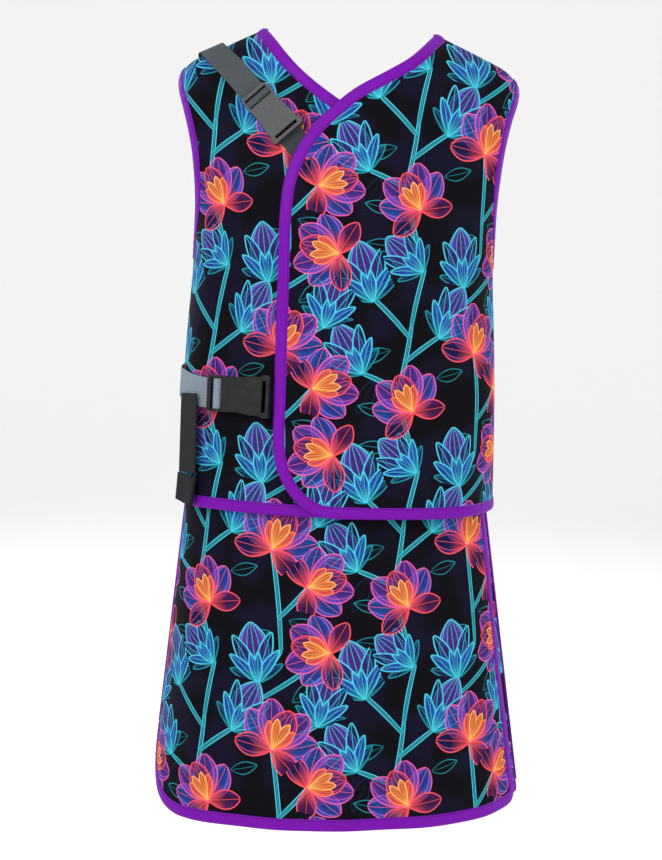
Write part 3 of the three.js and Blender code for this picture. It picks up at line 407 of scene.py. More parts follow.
class Print:
    """Builds the repeating print, petal by petal, on top of a ground colour.

    A place is a pair of sockets, x and y. They stay plain numbers, since a socket that changes its type on
    the way makes Cycles hold all the petals at once, and that is more than one shader has room for.
    """

    def __init__(self, graph, flat, petal, ground):
        self.graph = graph
        self.flat = graph.add("ShaderNodeSeparateXYZ", {0: flat}).outputs
        self.petal = petal
        self.colour = ground

    def local(self, x, y):
        """Millimetres from a place in the tile, wrapped so that the tile repeats."""
        away = [self.graph.math("SUBTRACT", self.flat[k], value) for k, value in enumerate((x, y))]
        return [self.graph.math("WRAP", value, size / 2, -size / 2) for value, size in zip(away, TILE)]

    def turned(self, where, angle):
        """The same place with x measured along a heading, in degrees, and y across it."""
        c, s = math.cos(math.radians(angle)), math.sin(math.radians(angle))
        across = self.graph.math("MULTIPLY", where[1], s), self.graph.math("MULTIPLY", where[1], c)
        return [self.graph.math("MULTIPLY_ADD", where[0], factor, rest)
                for factor, rest in zip((c, -s), across)]

    def folded(self, where):
        """The same place with y made positive, so that one petal draws a mirrored pair."""
        return [where[0], self.graph.math("ABSOLUTE", where[1])]

    def nearest(self, spots, middle):
        """A place seen from the nearest of several spots, given as x, y, heading and size.

        A spot is as far off as the point that lies middle along its heading.
        """
        best, least = None, None
        for x, y, angle, size in spots:
            where = self.turned(self.local(x, y), angle)
            where = [self.graph.math("DIVIDE", value, size) for value in where]
            along = self.graph.math("SUBTRACT", where[0], middle)
            squares = self.graph.math("MULTIPLY", where[1], where[1])
            squares = self.graph.math("MULTIPLY_ADD", along, along, squares)
            away = self.graph.math("MULTIPLY", squares, size * size)
            if best:
                closer = self.graph.math("LESS_THAN", away, least)
                steps = [self.graph.math("SUBTRACT", new, old) for new, old in zip(where, best)]
                where = [self.graph.math("MULTIPLY_ADD", s, closer, old) for s, old in zip(steps, best)]
                away = self.graph.math("MINIMUM", away, least)
            best, least = where, away
        return best

    def draw(self, where, length, half_width, base, tip, rim, *, belly=1.0, round_=0.7, bend=0.0, veins=1.0,
             fill=0.8, line=1.1):
        """A bigger belly moves the petal's widest place outwards; a smaller round_ makes it blunter."""
        inputs = {"Under": self.colour, "X": where[0], "Y": where[1], "Length": length,
                  "Half Width": half_width, "Belly": belly, "Round": round_, "Bend": bend, "Veins": veins,
                  "Fill": fill, "Line": line, "Base": base, "Tip": tip, "Rim": rim}
        node = self.graph.add("ShaderNodeGroup", node_tree=self.petal)
        for key, value in inputs.items():
            self.graph.feed(node.inputs[key], value)
        self.colour = node.outputs[0]

    def stem(self, x, y, end_x, end_y, bow):
        """A bowed stem: a long petal, blunt at both ends."""
        run = math.hypot(end_x - x, end_y - y)
        length = math.sqrt(run * run - bow * bow)
        angle = math.degrees(math.atan2(end_y - y, end_x - x) - math.atan2(bow, length))
        where = self.turned(self.local(x, y), angle)
        self.draw(where, length, 2.3, TEAL, DEEP_TEAL, CYAN, round_=0.1, bend=bow, veins=0.01, line=1.0)

    def leaves(self, spots, length, rim):
        """Outlined leaves, each with a midrib."""
        where = self.nearest(spots, length / 2)
        self.draw(where, length, length * 0.2, BLACK, BLACK, rim, round_=0.9, bend=4.0, fill=0.9, line=0.9)

    def buds(self, spots):
        """Closed flowers: a striped body, slim petals on each side and three pairs of sepals at the foot."""
        where = self.nearest(spots, 32)
        pair = self.folded(where)
        self.draw(self.turned(pair, 50), 34, 4.8, TEAL, NAVY, TEAL, bend=6, fill=0.8)
        self.draw(where, 64, 17, BLUE, VIOLET, CYAN, belly=1.25, round_=0.75, veins=5.0, fill=0.85)
        self.draw(self.turned(pair, 19), 56, 7.5, BLUE, NAVY, CYAN, belly=1.15, bend=4, veins=2.0, fill=0.75)
        self.draw(self.turned(pair, 33), 42, 5.4, TEAL, BLUE, CYAN, belly=1.1, bend=6, fill=0.8)
        self.draw(self.turned(pair, 8), 33, 4.6, CYAN, BLUE, CYAN, round_=0.9, fill=0.85)

    def blooms(self, spots):
        """Open flowers seen from the side: broad petals, brightest at their foot, and bright inner ones."""
        where = self.nearest(spots, 24)
        pair = self.folded(where)
        self.draw(self.turned(pair, 64), 52, 15, CORAL, BLUE, PINK, belly=1.3, round_=0.62, bend=-6,
                  veins=3.0)
        self.draw(self.turned(where, -112), 44, 12, CORAL, PLUM, CORAL, belly=1.15, round_=0.7, veins=2.0)
        self.draw(self.turned(where, 104), 46, 13, CORAL, NAVY, CORAL, belly=1.2, round_=0.65, veins=3.0)
        self.draw(self.turned(pair, 24), 58, 16, CORAL, VIOLET, PINK, belly=1.35, round_=0.6, veins=3.0,
                  fill=0.75)
        self.draw(self.turned(where, -4), 50, 15, ORANGE, PLUM, CORAL, belly=1.3, round_=0.65, veins=5.0,
                  fill=0.7)
        self.draw(self.turned(pair, 34), 33, 5.5, ORANGE, CORAL, ORANGE, belly=1.5, round_=0.8, bend=-3)
        self.draw(self.turned(pair, 9), 36, 5.0, AMBER, ORANGE, AMBER, belly=1.6, round_=0.8, bend=2)


def print_material():
    """Near-black coated nylon with glowing flowers, buds, leaves and stems in a repeat."""
    material, g, shader = new_material("floral_print", Roughness=0.75, Specular_IOR_Level=0.05)
    flat = cloth_place(g)
    glow = g.ramp(g.noise(flat, 0.016, 1.0), 0.42, 0.62)
    ground = g.mix(glow, BLACK, srgb(15, 13, 34))
    art = Print(g, flat, petal_group(), ground)
    art.leaves(SHADES, 48, DIM)
    for stem in STEMS:
        art.stem(*stem)
    art.leaves(LEAVES, 42, TEAL)
    art.buds(BUDS)
    art.blooms(BLOOMS)
    g.feed(shader.inputs["Base Color"], g.mix(PRINT_DEPTH, art.colour, BLACK))
    weave = g.noise(g.vector("MULTIPLY", flat, (1.0, 1.6, 1.0)), 1.6, 2.0)
    g.feed(shader.inputs["Roughness"], g.ramp(weave, 0.3, 0.7, 0.62, 0.76))
    g.feed(shader.inputs["Normal"], g.bump(weave, 0.18, 0.0006))
    return material


# ---- plain materials --------------------------------------------------------------------------------
def woven(name, dark, light, pitch, roughness, depth):
    """A plain weave: two sets of threads crossing, with small changes of shade from thread to thread."""
    material, g, shader = new_material(name, Roughness=roughness, Specular_IOR_Level=0.3)
    flat = cloth_place(g)
    turns = g.vector("MULTIPLY", flat, (math.pi / pitch, math.pi / pitch, 1.0))
    parts = g.add("ShaderNodeSeparateXYZ", {0: turns}).outputs
    along = g.math("ABSOLUTE", g.math("SINE", parts[0]))
    across = g.math("ABSOLUTE", g.math("SINE", parts[1]))
    threads = g.math("MULTIPLY", g.math("ADD", along, across), 0.5)
    mottle = g.noise(flat, 0.35, 3.0)
    shade = g.math("MULTIPLY", g.math("ADD", threads, mottle), 0.5)
    g.feed(shader.inputs["Base Color"], g.mix(g.ramp(shade, 0.3, 0.75), dark, light))
    g.feed(shader.inputs["Normal"], g.bump(threads, 0.5, depth))
    return material


STITCH_ROW = 2.2                 # mm in from the tape's inner edge
STITCH_PITCH = 2.8


def binding_material():
    """Violet bias tape: satin, slightly puckered, with a row of small dark stitches near its inner edge."""
    material, g, shader = new_material("violet_binding", Roughness=0.55, Specular_IOR_Level=0.12)
    flat = cloth_place(g)
    parts = g.add("ShaderNodeSeparateXYZ", {0: flat}).outputs
    row = g.math("ABSOLUTE", g.math("SUBTRACT", parts[1], STITCH_ROW))
    step = g.math("FRACT", g.math("DIVIDE", parts[0], STITCH_PITCH))
    stitch = g.math("MULTIPLY", g.ramp(row, 0.35, 0.6, 1.0, 0.0), g.math("LESS_THAN", step, 0.55))
    grain = g.noise(g.vector("MULTIPLY", flat, (0.9, 2.2, 1.0)), 1.3, 2.0)
    patches = g.noise(flat, 0.05, 2.0)
    violet = g.mix(g.ramp(grain, 0.35, 0.65), srgb(84, 0, 120), srgb(116, 0, 164))
    worn = g.mix(g.ramp(patches, 0.35, 0.7), violet, srgb(102, 0, 146))
    g.feed(shader.inputs["Base Color"], g.mix(stitch, worn, srgb(44, 0, 66)))
    relief = g.math("SUBTRACT", g.math("MULTIPLY", grain, 0.4), stitch)
    g.feed(shader.inputs["Normal"], g.bump(relief, 0.5, 0.0006))
    return material


RIB_PITCH, WALE_PITCH = 1.5, 1.0     # mm between the ribs that cross a band and the wales along it
HERRINGBONE = 4.0                    # mm across the band before the ribs lean the other way


def webbing_material(name, dark, light):
    """Woven webbing: ribs that cross it in a zigzag, and wales that run its length."""
    material, g, shader = new_material(name, Roughness=0.85, Specular_IOR_Level=0.12)
    flat = cloth_place(g)
    parts = g.add("ShaderNodeSeparateXYZ", {0: flat}).outputs
    lean = g.math("PINGPONG", parts[1], HERRINGBONE)
    rib_turn = g.math("MULTIPLY", g.math("ADD", parts[0], lean), math.pi / RIB_PITCH)
    ribs = g.math("ABSOLUTE", g.math("SINE", rib_turn))
    wales = g.math("ABSOLUTE", g.math("SINE", g.math("MULTIPLY", parts[1], math.pi / WALE_PITCH)))
    weave = g.math("MULTIPLY", g.math("ADD", ribs, wales), 0.5)
    mottle = g.noise(flat, 0.6, 3.0)
    shade = g.math("ADD", g.math("MULTIPLY", weave, 0.6), g.math("MULTIPLY", mottle, 0.5))
    g.feed(shader.inputs["Base Color"], g.mix(g.ramp(shade, 0.25, 0.85), dark, light))
    g.feed(shader.inputs["Normal"], g.bump(weave, 0.6, 0.0005))
    return material


def plastic_material(name, dark, light, roughness):
    """Moulded acetal with a fine spark-eroded grain and faint scuffs."""
    material, g, shader = new_material(name, Roughness=roughness, Specular_IOR_Level=0.3)
    where = g.add("ShaderNodeTexCoord").outputs["Object"]
    grain = g.noise(where, 2200.0, 2.0)
    scuffs = g.noise(where, 90.0, 4.0, 0.65)
    g.feed(shader.inputs["Base Color"], g.mix(g.ramp(scuffs, 0.4, 0.75), dark, light))
    g.feed(shader.inputs["Roughness"], g.ramp(scuffs, 0.35, 0.7, roughness - 0.06, roughness + 0.1))
    g.feed(shader.inputs["Normal"], g.bump(grain, 0.25, 0.0003))
    return material


def pile_material():
    """Hook-and-loop tape: short dense pile."""
    material, g, shader = new_material("hook_and_loop", Roughness=0.95, Sheen_Weight=0.4, Sheen_Roughness=0.5)
    flat = cloth_place(g)
    pile = g.noise(flat, 1.1, 3.0, 0.7)
    g.feed(shader.inputs["Base Color"], g.mix(g.ramp(pile, 0.3, 0.75), srgb(12, 12, 15), srgb(46, 46, 52)))
    g.feed(shader.inputs["Normal"], g.bump(pile, 0.9, 0.0008))
    return material


# ---- driving dimensions, as in the CAD ---------------------------------------------------------------
HEM_Z = -610
SHOULDER_TIP_Z = -58             # outer end of the shoulder seam
UNDERARM_Z = -289
ARMHOLE_HALF = 48                # half the armhole's width, measured round the body
BINDING = 14                     # width of the bias binding on each face
SHELL, CORE, LINING = (0.0, 1.0), (1.15, 3.85), (4.0, 4.8)   # depths below the face
UNDER_DEPTH = 10.5               # how far the right front lies below the flap's face
FLAP_EDGE_X = -82                # free edge of the overlapping left front
UNDER_EDGE_X = 60                # hidden free edge of the right front
FOLD_TOP, FOLD_HEM = (45, -57), (110, HEM_Z)                 # ends of the flap's fold line (x, z)
SKIRT_TOP_Z = -395
SKIRT_HEM_Z = -1003
SKIRT_SPLIT_Z = -640             # below this the skirt front swings open
SKIRT_LEAN = 0.03                # the skirt hangs leaning this much (radians) towards +X at its hem
VENT = 95                        # radius of the skirt's rounded corners at the wearer's right
SECTION_POWER = 2.2              # cross-sections are superellipses of this power
VEST_FORM = [
    (HEM_Z - 10, 208, 140, 130), (-500, 205, 134, 116), (-400, 201, 129, 106), (UNDERARM_Z, 194, 134, 110),
    (-230, 197, 133, 113), (-170, 208, 117, 110), (-110, 218, 98, 102), (-70, 219, 85, 90),
    (-47, 203, 74, 78), (-27, 165, 57, 60), (0, 110, 18, 18),
]
SKIRT_FORM = [(SKIRT_HEM_Z, 246, 165, 160), (SKIRT_TOP_Z, 170, 94, 94)]


# ---- small maths ------------------------------------------------------------------------------------
def lerp(a, b, u):
    return a + (b - a) * u


def smooth(x, low, high):
    u = np.clip((x - low) / (high - low), 0, 1)
    return u * u * (3 - 2 * u)


def unit(vectors):
    return vectors / np.maximum(np.linalg.norm(vectors, axis=-1, keepdims=True), 1e-9)


class Form:
    """A stack of superellipse sections. Angles run from +X towards +Y, so the front is at -90 degrees."""

    STEPS = 90                   # steps in a quarter turn
    LEVEL = 5.0                  # mm between the levels of the tables

    def __init__(self, keys, place=None):
        rows = np.array(sorted(keys), float)
        self.place = place or (lambda p: p)
        self.heights, self.sizes = rows[:, 0], rows[:, 1:]
        k = np.arange(len(rows))
        before, after = np.maximum(k - 1, 0), np.minimum(k + 1, len(rows) - 1)
        rise = self.heights[after] - self.heights[before]
        self.slopes = (self.sizes[after] - self.sizes[before]) / rise[:, None]
        self.levels = np.arange(self.heights[0] - 30, self.heights[-1] + 31, self.LEVEL)
        self.reach = {back: self.measure(back) for back in (False, True)}

    def size(self, z):
        k = np.clip(np.searchsorted(self.heights, z) - 1, 0, len(self.heights) - 2)
        width = (self.heights[k + 1] - self.heights[k])[..., None]
        u = (z - self.heights[k])[..., None] / width
        a, b = self.sizes[k], self.sizes[k + 1]
        curve = (a * (1 + 2 * u) * (1 - u) ** 2 + b * u * u * (3 - 2 * u)
                 + width * (self.slopes[k] * u * (1 - u) ** 2 + self.slopes[k + 1] * u * u * (u - 1)))
        return np.where((u < 0) | (u > 1), lerp(a, b, u), curve)

    def point(self, angle, z):
        half, front, back = np.moveaxis(self.size(z), -1, 0)
        c, s = np.cos(angle), np.sin(angle)
        power = 2 / SECTION_POWER
        depth = np.where(s < 0, front, back)
        x = half * np.sign(c) * np.abs(c) ** power
        y = depth * np.sign(s) * np.abs(s) ** power
        return self.place(np.stack([x, y, z + 0 * x], -1))

    def normal(self, angle, z):
        around = self.point(angle + 0.02, z) - self.point(angle - 0.02, z)
        up = self.point(angle, z + 1) - self.point(angle, z - 1)
        return unit(np.cross(around, up))

    def measure(self, back):
        """Distances round the body from its centre line to its side, at every level."""
        turn = np.linspace(0, math.pi / 2, self.STEPS + 1)
        z, angle = np.meshgrid(self.levels, math.pi / 2 - turn if back else turn - math.pi / 2, indexing="ij")
        steps = np.linalg.norm(np.diff(self.point(angle, z), axis=1), axis=2)
        return np.concatenate([np.zeros((len(z), 1)), np.cumsum(steps, axis=1)], axis=1)

    def rows(self, z, back):
        """The tables' rows, blended between levels."""
        at = np.clip((z - self.levels[0]) / self.LEVEL, 0, len(self.levels) - 1.001)
        k = at.astype(int)
        return lerp(self.reach[back][k], self.reach[back][k + 1], (at - k)[..., None])

    def girth(self, z, back=False):
        """Distance round the body from its centre line to its side."""
        return self.rows(np.asarray(z, float), back)[..., -1]

    def angle_at(self, s, z, back):
        """Angle of the place at distance s round the body."""
        rows = self.rows(z, back)
        want = np.minimum(np.abs(s), rows[:, -1])
        k = np.clip((rows < want[:, None]).sum(axis=1), 1, self.STEPS)
        each = np.arange(len(k))
        low, high = rows[each, k - 1], rows[each, k]
        turn = (k - 1 + (want - low) / (high - low)) * (math.pi / 2 / self.STEPS)
        return math.pi / 2 - np.sign(s) * turn if back else np.sign(s) * turn - math.pi / 2

    def across_at(self, x, z, back=False):
        """Distance round the body of the place that is x across."""
        x, z = np.asarray(x, float), np.asarray(z, float)
        ratio = np.minimum(np.abs(x) / self.size(z)[..., 0], 1)
        quarter = np.arcsin(ratio ** (SECTION_POWER / 2)) / (math.pi / 2)
        at = np.minimum(quarter * self.STEPS, self.STEPS - 1e-6)
        rows, k = self.rows(z, back), at.astype(int)
        low = np.take_along_axis(rows, k[..., None], -1)[..., 0]
        high = np.take_along_axis(rows, k[..., None] + 1, -1)[..., 0]
        return np.sign(x) * lerp(low, high, at - k)


def lean(p):
    """The skirt's tilt."""
    x, y, z = np.moveaxis(p, -1, 0)
    return np.stack([x + SKIRT_LEAN * (HEM_Z - z), y, z + SKIRT_LEAN * x], -1)


vest = Form(VEST_FORM)
skirt = Form(SKIRT_FORM, lean)


def waves(s, z, seed, count, longest):
    """Soft irregular swell, from about -1 to 1."""
    draw = np.random.RandomState(seed)
    total = 0
    for _ in range(count):
        angle, length, phase = draw.uniform(0, math.pi), draw.uniform(0.4, 1) * longest, draw.uniform(0, 7)
        total = total + np.sin((s * math.cos(angle) + z * math.sin(angle)) * 2 * math.pi / length + phase)
    return total / count ** 0.5 / 1.4


def vest_relief(s, z, back):
    """The cloth's soft swell, in mm outwards. It dies away at the seams and where the buckles lie."""
    free = smooth(vest.girth(z, back) - np.abs(s), 5, 60) * smooth(s, -105, -40)
    return free * 2.4 * waves(s, z, 11 if back else 5, 9, 300)


def skirt_relief(s, z, back):
    """The skirt's swell, with soft flutes that grow towards its hem."""
    free = smooth(skirt.girth(z, back) - np.abs(s), 5, 60) * smooth(-z, 420, 620)
    flutes = np.sin(s * 2 * math.pi / 185 + (1.0 if back else 2.6)) + 0.5 * np.sin(s * 2 * math.pi / 97 + 0.7)
    return free * (2.4 * flutes * smooth(-z, 600, 1003) + 1.4 * waves(s, z, 23 if back else 17, 7, 260))


# ---- outlines of the panels, as (distance round the body, height) ------------------------------------
SAMPLES = np.linspace(0, 1, 81)


def spline(points):
    """A uniform Catmull-Rom curve."""
    p = np.array(points, float)

    def at(u):
        t = np.clip(u, 0, 1) * (len(p) - 1)
        k = np.minimum(t.astype(int), len(p) - 2)
        w = (t - k)[:, None]
        p0, p1, p2 = p[np.maximum(k - 1, 0)], p[k], p[k + 1]
        p3 = p[np.minimum(k + 2, len(p) - 1)]
        v0, v1 = (p2 - p0) / 2, (p3 - p1) / 2
        cubic = (2 * p1 - 2 * p2 + v0 + v1) * w ** 3
        return cubic + (-3 * p1 + 3 * p2 - 2 * v0 - v1) * w * w + v0 * w + p1
    return at


def line(a, b):
    return lambda u: np.stack([lerp(a[0], b[0], u), lerp(a[1], b[1], u)], -1)


def part_of(curve, start, end):
    return lambda u: curve(lerp(start, end, u))


def arc(centre, radii, start, end):
    def at(u):
        a = np.radians(lerp(start, end, u))
        return np.stack([centre[0] + radii[0] * np.cos(a), centre[1] + radii[1] * np.sin(a)], -1)
    return at


def on_body(form, curve, back=False):
    def at(u):
        x, z = curve(u).T
        return np.stack([form.across_at(x, z, back), z], -1)
    return at


def beside(form, back, sign, low, high, inset):
    """An edge that follows the side, inset from it by a number of mm or by a function of 0 to 1."""
    def at(u):
        z = lerp(low, high, u)
        gap = inset(u) if callable(inset) else inset
        return np.stack([sign * (form.girth(z, back) - gap), z], -1)
    return at


def joined(*curves):
    """Points of several curves end to end, and the shares of the whole length at which they meet."""
    pieces = [curve(SAMPLES) for curve in curves]
    outline = np.concatenate([pieces[0]] + [piece[1:] for piece in pieces[1:]])
    lengths = [np.linalg.norm(np.diff(piece, axis=0), axis=1).sum() for piece in pieces]
    marks = np.cumsum(lengths)[:-1] / sum(lengths)
    return outline, list(marks)


def resample(outline, shares):
    """The outline's points at shares of its length."""
    steps = np.linalg.norm(np.diff(outline, axis=0), axis=1)
    reach = np.concatenate([[0], np.cumsum(steps)])
    return np.stack([np.interp(np.asarray(shares) * reach[-1], reach, outline[:, k]) for k in (0, 1)], -1)


def shares(count, marks):
    """Even steps from 0 to 1, with the nearest step moved onto each mark."""
    out = np.linspace(0, 1, count + 1)
    for mark in marks:
        out[np.abs(out - mark).argmin()] = mark
    return out


def around(grid):
    """The rim of a grid, once round."""
    return np.concatenate([grid[:, 0], grid[-1, 1:], grid[-2::-1, -1], grid[0, -2:0:-1]])


class Panel:
    """A fabric panel: a grid of places filled in between four outlines (a Coons patch), laid on a form."""

    def __init__(self, form, relief, side, edge, hem, top, cells, marks=((), ()), back=False, depth=None):
        self.form, self.relief, self.back, self.depth = form, relief, back, depth
        c, t = shares(cells[0], marks[0]), shares(cells[1], marks[1])
        side, edge = resample(side, t)[None], resample(edge, t)[None]
        hem, top = resample(hem, c)[:, None], resample(top, c)[:, None]
        c, t = c[:, None, None], t[None, :, None]
        corners = ((1 - t) * ((1 - c) * side[:, :1] + c * edge[:, :1])
                   + t * ((1 - c) * side[:, -1:] + c * edge[:, -1:]))
        self.grid = (1 - c) * side + c * edge + (1 - t) * hem + t * top - corners

    def place(self, flat, below):
        """Points that far below the panel's face, in mm, for (s, z) places on the cloth."""
        s, z = flat.reshape(-1, 2).T
        angle = self.form.angle_at(s, z, self.back)
        face, normal = self.form.point(angle, z), self.form.normal(angle, z)
        down = np.broadcast_to(below, flat.shape[:-1]).reshape(-1) - self.relief(s, z, self.back)
        down = down + SEAM_DIP * (1 - smooth(self.form.girth(z, self.back) - np.abs(s), 0, SEAM_ROOM))
        if self.depth:
            down = down + self.depth(face[:, 0], s, z)
        return (face - normal * down[:, None]).reshape(*flat.shape[:-1], 3)

    def cut_size(self):
        """Width, length and area of the flat panel, in metres."""
        x, y = around(self.grid).T
        area = abs(np.sum(x * np.roll(y, -1) - y * np.roll(x, -1))) / 2
        return np.ptp(x) * MM, np.ptp(y) * MM, area * MM * MM


SEAM_DIP = 1.3                   # a panel sinks this far into a sewn seam
SEAM_ROOM = 11.0                 # and starts to sink this far from it


# ---- meshes -----------------------------------------------------------------------------------------
SHARP = math.radians(50)         # faces that meet at more than this show a crisp edge


def make_object(name, vertices, faces, flat, material, slot):
    """A smooth mesh with its cloth places stored as a UV map, in mm."""
    mesh = bpy.data.meshes.new(name)
    mesh.from_pydata((np.asarray(vertices) * MM).tolist(), [], faces)
    uv = mesh.uv_layers.new(name="cloth")
    corners = np.empty(len(mesh.loops), int)
    mesh.loops.foreach_get("vertex_index", corners)
    uv.data.foreach_set("uv", np.asarray(flat, np.float32)[corners].ravel())
    bm = bmesh.new()
    bm.from_mesh(mesh)
    bmesh.ops.recalc_face_normals(bm, faces=bm.faces)
    bm.to_mesh(mesh)
    bm.free()
    mesh.shade_smooth()
    mesh.set_sharp_from_angle(angle=SHARP)
    piece = bpy.data.objects.new(name, mesh)
    bpy.context.collection.objects.link(piece)
    mesh.materials.append(material)
    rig.slot(piece, slot)
    return piece


def slab(name, panel, grid, layer, material, slot):
    """A closed sheet over a grid of cloth places, between two depths below the panel's face."""
    columns, rows = grid.shape[:2]
    points = np.concatenate([panel.place(grid, depth).reshape(-1, 3) for depth in layer])
    index = np.arange(columns * rows).reshape(columns, rows)
    faces = np.stack([index[:-1, :-1], index[1:, :-1], index[1:, 1:], index[:-1, 1:]], -1).reshape(-1, 4)
    under = faces[:, ::-1] + columns * rows
    rim = around(index)
    below = rim + columns * rows
    walls = np.stack([rim, np.roll(rim, -1), np.roll(below, -1), below], -1)[:, ::-1]
    flat = np.concatenate([grid.reshape(-1, 2)] * 2)
    return make_object(name, points, np.concatenate([faces, under, walls]).tolist(), flat, material, slot)


PATCH_STEP = 6.0


def patch_grid(low, high):
    """A rectangle of cloth places between two corners."""
    counts = [max(int(abs(b - a) / PATCH_STEP), 2) + 1 for a, b in zip(low, high)]
    s, z = (np.linspace(a, b, n) for a, b, n in zip(low, high, counts))
    return np.stack(np.meshgrid(s, z, indexing="ij"), -1)


def sweep(name, rings, flat, material, slot):
    """A closed tube through rings of points, capped at both ends."""
    count, size = rings.shape[:2]
    index = np.arange(count * size).reshape(count, size)
    ahead = np.roll(index, -1, axis=1)
    faces = np.stack([index[:-1], ahead[:-1], ahead[1:], index[1:]], -1).reshape(-1, 4).tolist()
    faces += [index[0][::-1].tolist(), index[-1].tolist()]
    return make_object(name, rings.reshape(-1, 3), faces, flat.reshape(-1, 2), material, slot)


# Section of the binding: (distance in from the rim, depth below the face), round its outside then its inside
TAPE_OUTER = [(13.9, -0.02), (13.5, -0.75), (12.4, -1.15), (9.6, -1.3), (6.0, -1.35), (2.8, -1.25),
              (0.9, -0.95), (-0.5, -0.2), (-1.35, 1.0), (-1.6, 2.4), (-1.35, 3.8), (-0.5, 5.0), (0.9, 5.75),
              (2.8, 6.0), (6.0, 6.1), (12.4, 5.95), (13.5, 5.6), (13.9, 4.85)]
TAPE_INNER = [(13.0, 4.88), (1.0, 4.9), (-0.3, 3.9), (-0.6, 2.4), (-0.3, 0.9), (1.0, -0.1), (13.0, -0.08)]
TAPE_STEP = 3.5
TAPE_BLEND = 3                   # steps of smoothing along a tape's path


GATHER_HEIGHT, GATHER_PITCH = 0.22, 8.3
GATHER_DRIFT, DRIFT_LENGTH = 1.7, 23     # the gathers come a little early or late along the tape
CRIMP_HEIGHT, CRIMP_LENGTH = 0.15, 2.1


def puckers(along):
    """How far the tape's face stands up, in mm: gathers, and a finer crimp between them."""
    gathers = np.sin(along * 2 * math.pi / GATHER_PITCH + GATHER_DRIFT * np.sin(along / DRIFT_LENGTH))
    return GATHER_HEIGHT * gathers + CRIMP_HEIGHT * np.sin(along / CRIMP_LENGTH)


def tape(name, panel, path, material):
    """Bias tape folded over a panel's rim, along a path of cloth places that has the cloth on its left."""
    length = np.linalg.norm(np.diff(path, axis=0), axis=1).sum()
    count = int(length / TAPE_STEP)
    path = resample(path, np.linspace(0, 1, count + 1))
    before = 2 * path[:1] - path[TAPE_BLEND:0:-1]
    after = 2 * path[-1:] - path[-2:-TAPE_BLEND - 2:-1]
    padded = np.concatenate([before, path, after])
    kernel = np.ones(2 * TAPE_BLEND + 1) / (2 * TAPE_BLEND + 1)
    soft = np.stack([np.convolve(padded[:, k], kernel, "valid") for k in (0, 1)], -1)
    heading = unit(np.gradient(soft, axis=0))
    inwards = np.stack([-heading[:, 1], heading[:, 0]], -1)
    section = np.array(TAPE_OUTER + TAPE_INNER)
    along = np.linspace(0, length, count + 1)
    reach, below = section.T
    outer = np.arange(len(section)) < len(TAPE_OUTER)
    face = outer & (below < 0) & (reach > 2)
    drop = below[None, :] - np.where(face, 1.0, 0.0)[None, :] * puckers(along)[:, None]
    flat = soft[:, None, :] + inwards[:, None, :] * reach[None, :, None]
    across = np.where(below < 3, TAPE_OUTER[0][0] - reach, reach - TAPE_OUTER[0][0])
    uv = np.stack(np.broadcast_arrays(along[:, None], across[None, :]), -1)
    return sweep(name, panel.place(flat, drop), uv, material, "binding_tape")


WEB_STEP = 1.6                   # mm along a band between its rings
WEB_THICKNESS, WEB_ROUND = 1.6, 0.45
WEB_CELLS = 7                    # points across each face of a band


def smooth_stations(stations):
    """Even, smooth stations through a list of (place, normal) pairs."""
    places = np.array([place for place, _ in stations], float)
    normals = np.array([normal for _, normal in stations], float)
    steps = np.linalg.norm(np.diff(places, axis=0), axis=1)
    reach = np.concatenate([[0], np.cumsum(steps)])
    at = np.linspace(0, reach[-1], int(reach[-1] / WEB_STEP) + 1)
    k = np.clip(np.searchsorted(reach, at) - 1, 0, len(reach) - 2)
    u = ((at - reach[k]) / (reach[k + 1] - reach[k]))[:, None]
    slope = np.gradient(places, reach, axis=0)
    width = (reach[k + 1] - reach[k])[:, None]
    curve = (places[k] * (1 + 2 * u) * (1 - u) ** 2 + places[k + 1] * u * u * (3 - 2 * u)
             + width * (slope[k] * u * (1 - u) ** 2 + slope[k + 1] * u * u * (u - 1)))
    return at, curve, unit(lerp(normals[k], normals[k + 1], u))


def band(name, stations, width, material, slot, thickness=WEB_THICKNESS):
    """Webbing through stations on its underside: a flat band with rounded edges."""
    at, centre, normal = smooth_stations(stations)
    heading = unit(np.gradient(centre, axis=0))
    across = unit(np.cross(normal, heading))
    normal = unit(np.cross(heading, across))
    half, soft = width / 2, WEB_ROUND
    over = np.linspace(half - soft, -half + soft, WEB_CELLS)
    section = [(half, soft), (half, thickness - soft), *((v, thickness) for v in over)]
    section += [(-half, thickness - soft), (-half, soft), *((v, 0.0) for v in -over)]
    section = np.array(section)
    rings = centre[:, None] + across[:, None] * section[None, :, :1] + normal[:, None] * section[None, :, 1:]
    flat = np.stack(np.broadcast_arrays(at[:, None], section[None, :, 0] + half), -1)
    return sweep(name, rings, flat, material, slot)


# ---- the pieces -------------------------------------------------------------------------------------
def put(piece, body, *nodes):
    """The piece rides on a body and stands for CAD nodes."""
    if nodes:
        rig.replaces(piece, *nodes)
    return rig.ride(piece, body)


def bend(piece, bodies, start, end, *nodes):
    """The piece bends between two bodies, from start to end, and stands for CAD nodes."""
    if nodes:
        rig.replaces(piece, *nodes)
    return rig.blend(piece, *bodies, start=start, end=end)


def move(piece, motion, *nodes):
    """motion is a body's name or a bend."""
    if isinstance(motion, str):
        put(piece, motion, *nodes)
    else:
        bend(piece, *motion, *nodes)


FOLD_SPREAD = 42                 # the flap bends over this far on each side of its fold line
fold_run = Vector((FOLD_HEM[0] - FOLD_TOP[0], 0, FOLD_HEM[1] - FOLD_TOP[1])).normalized()
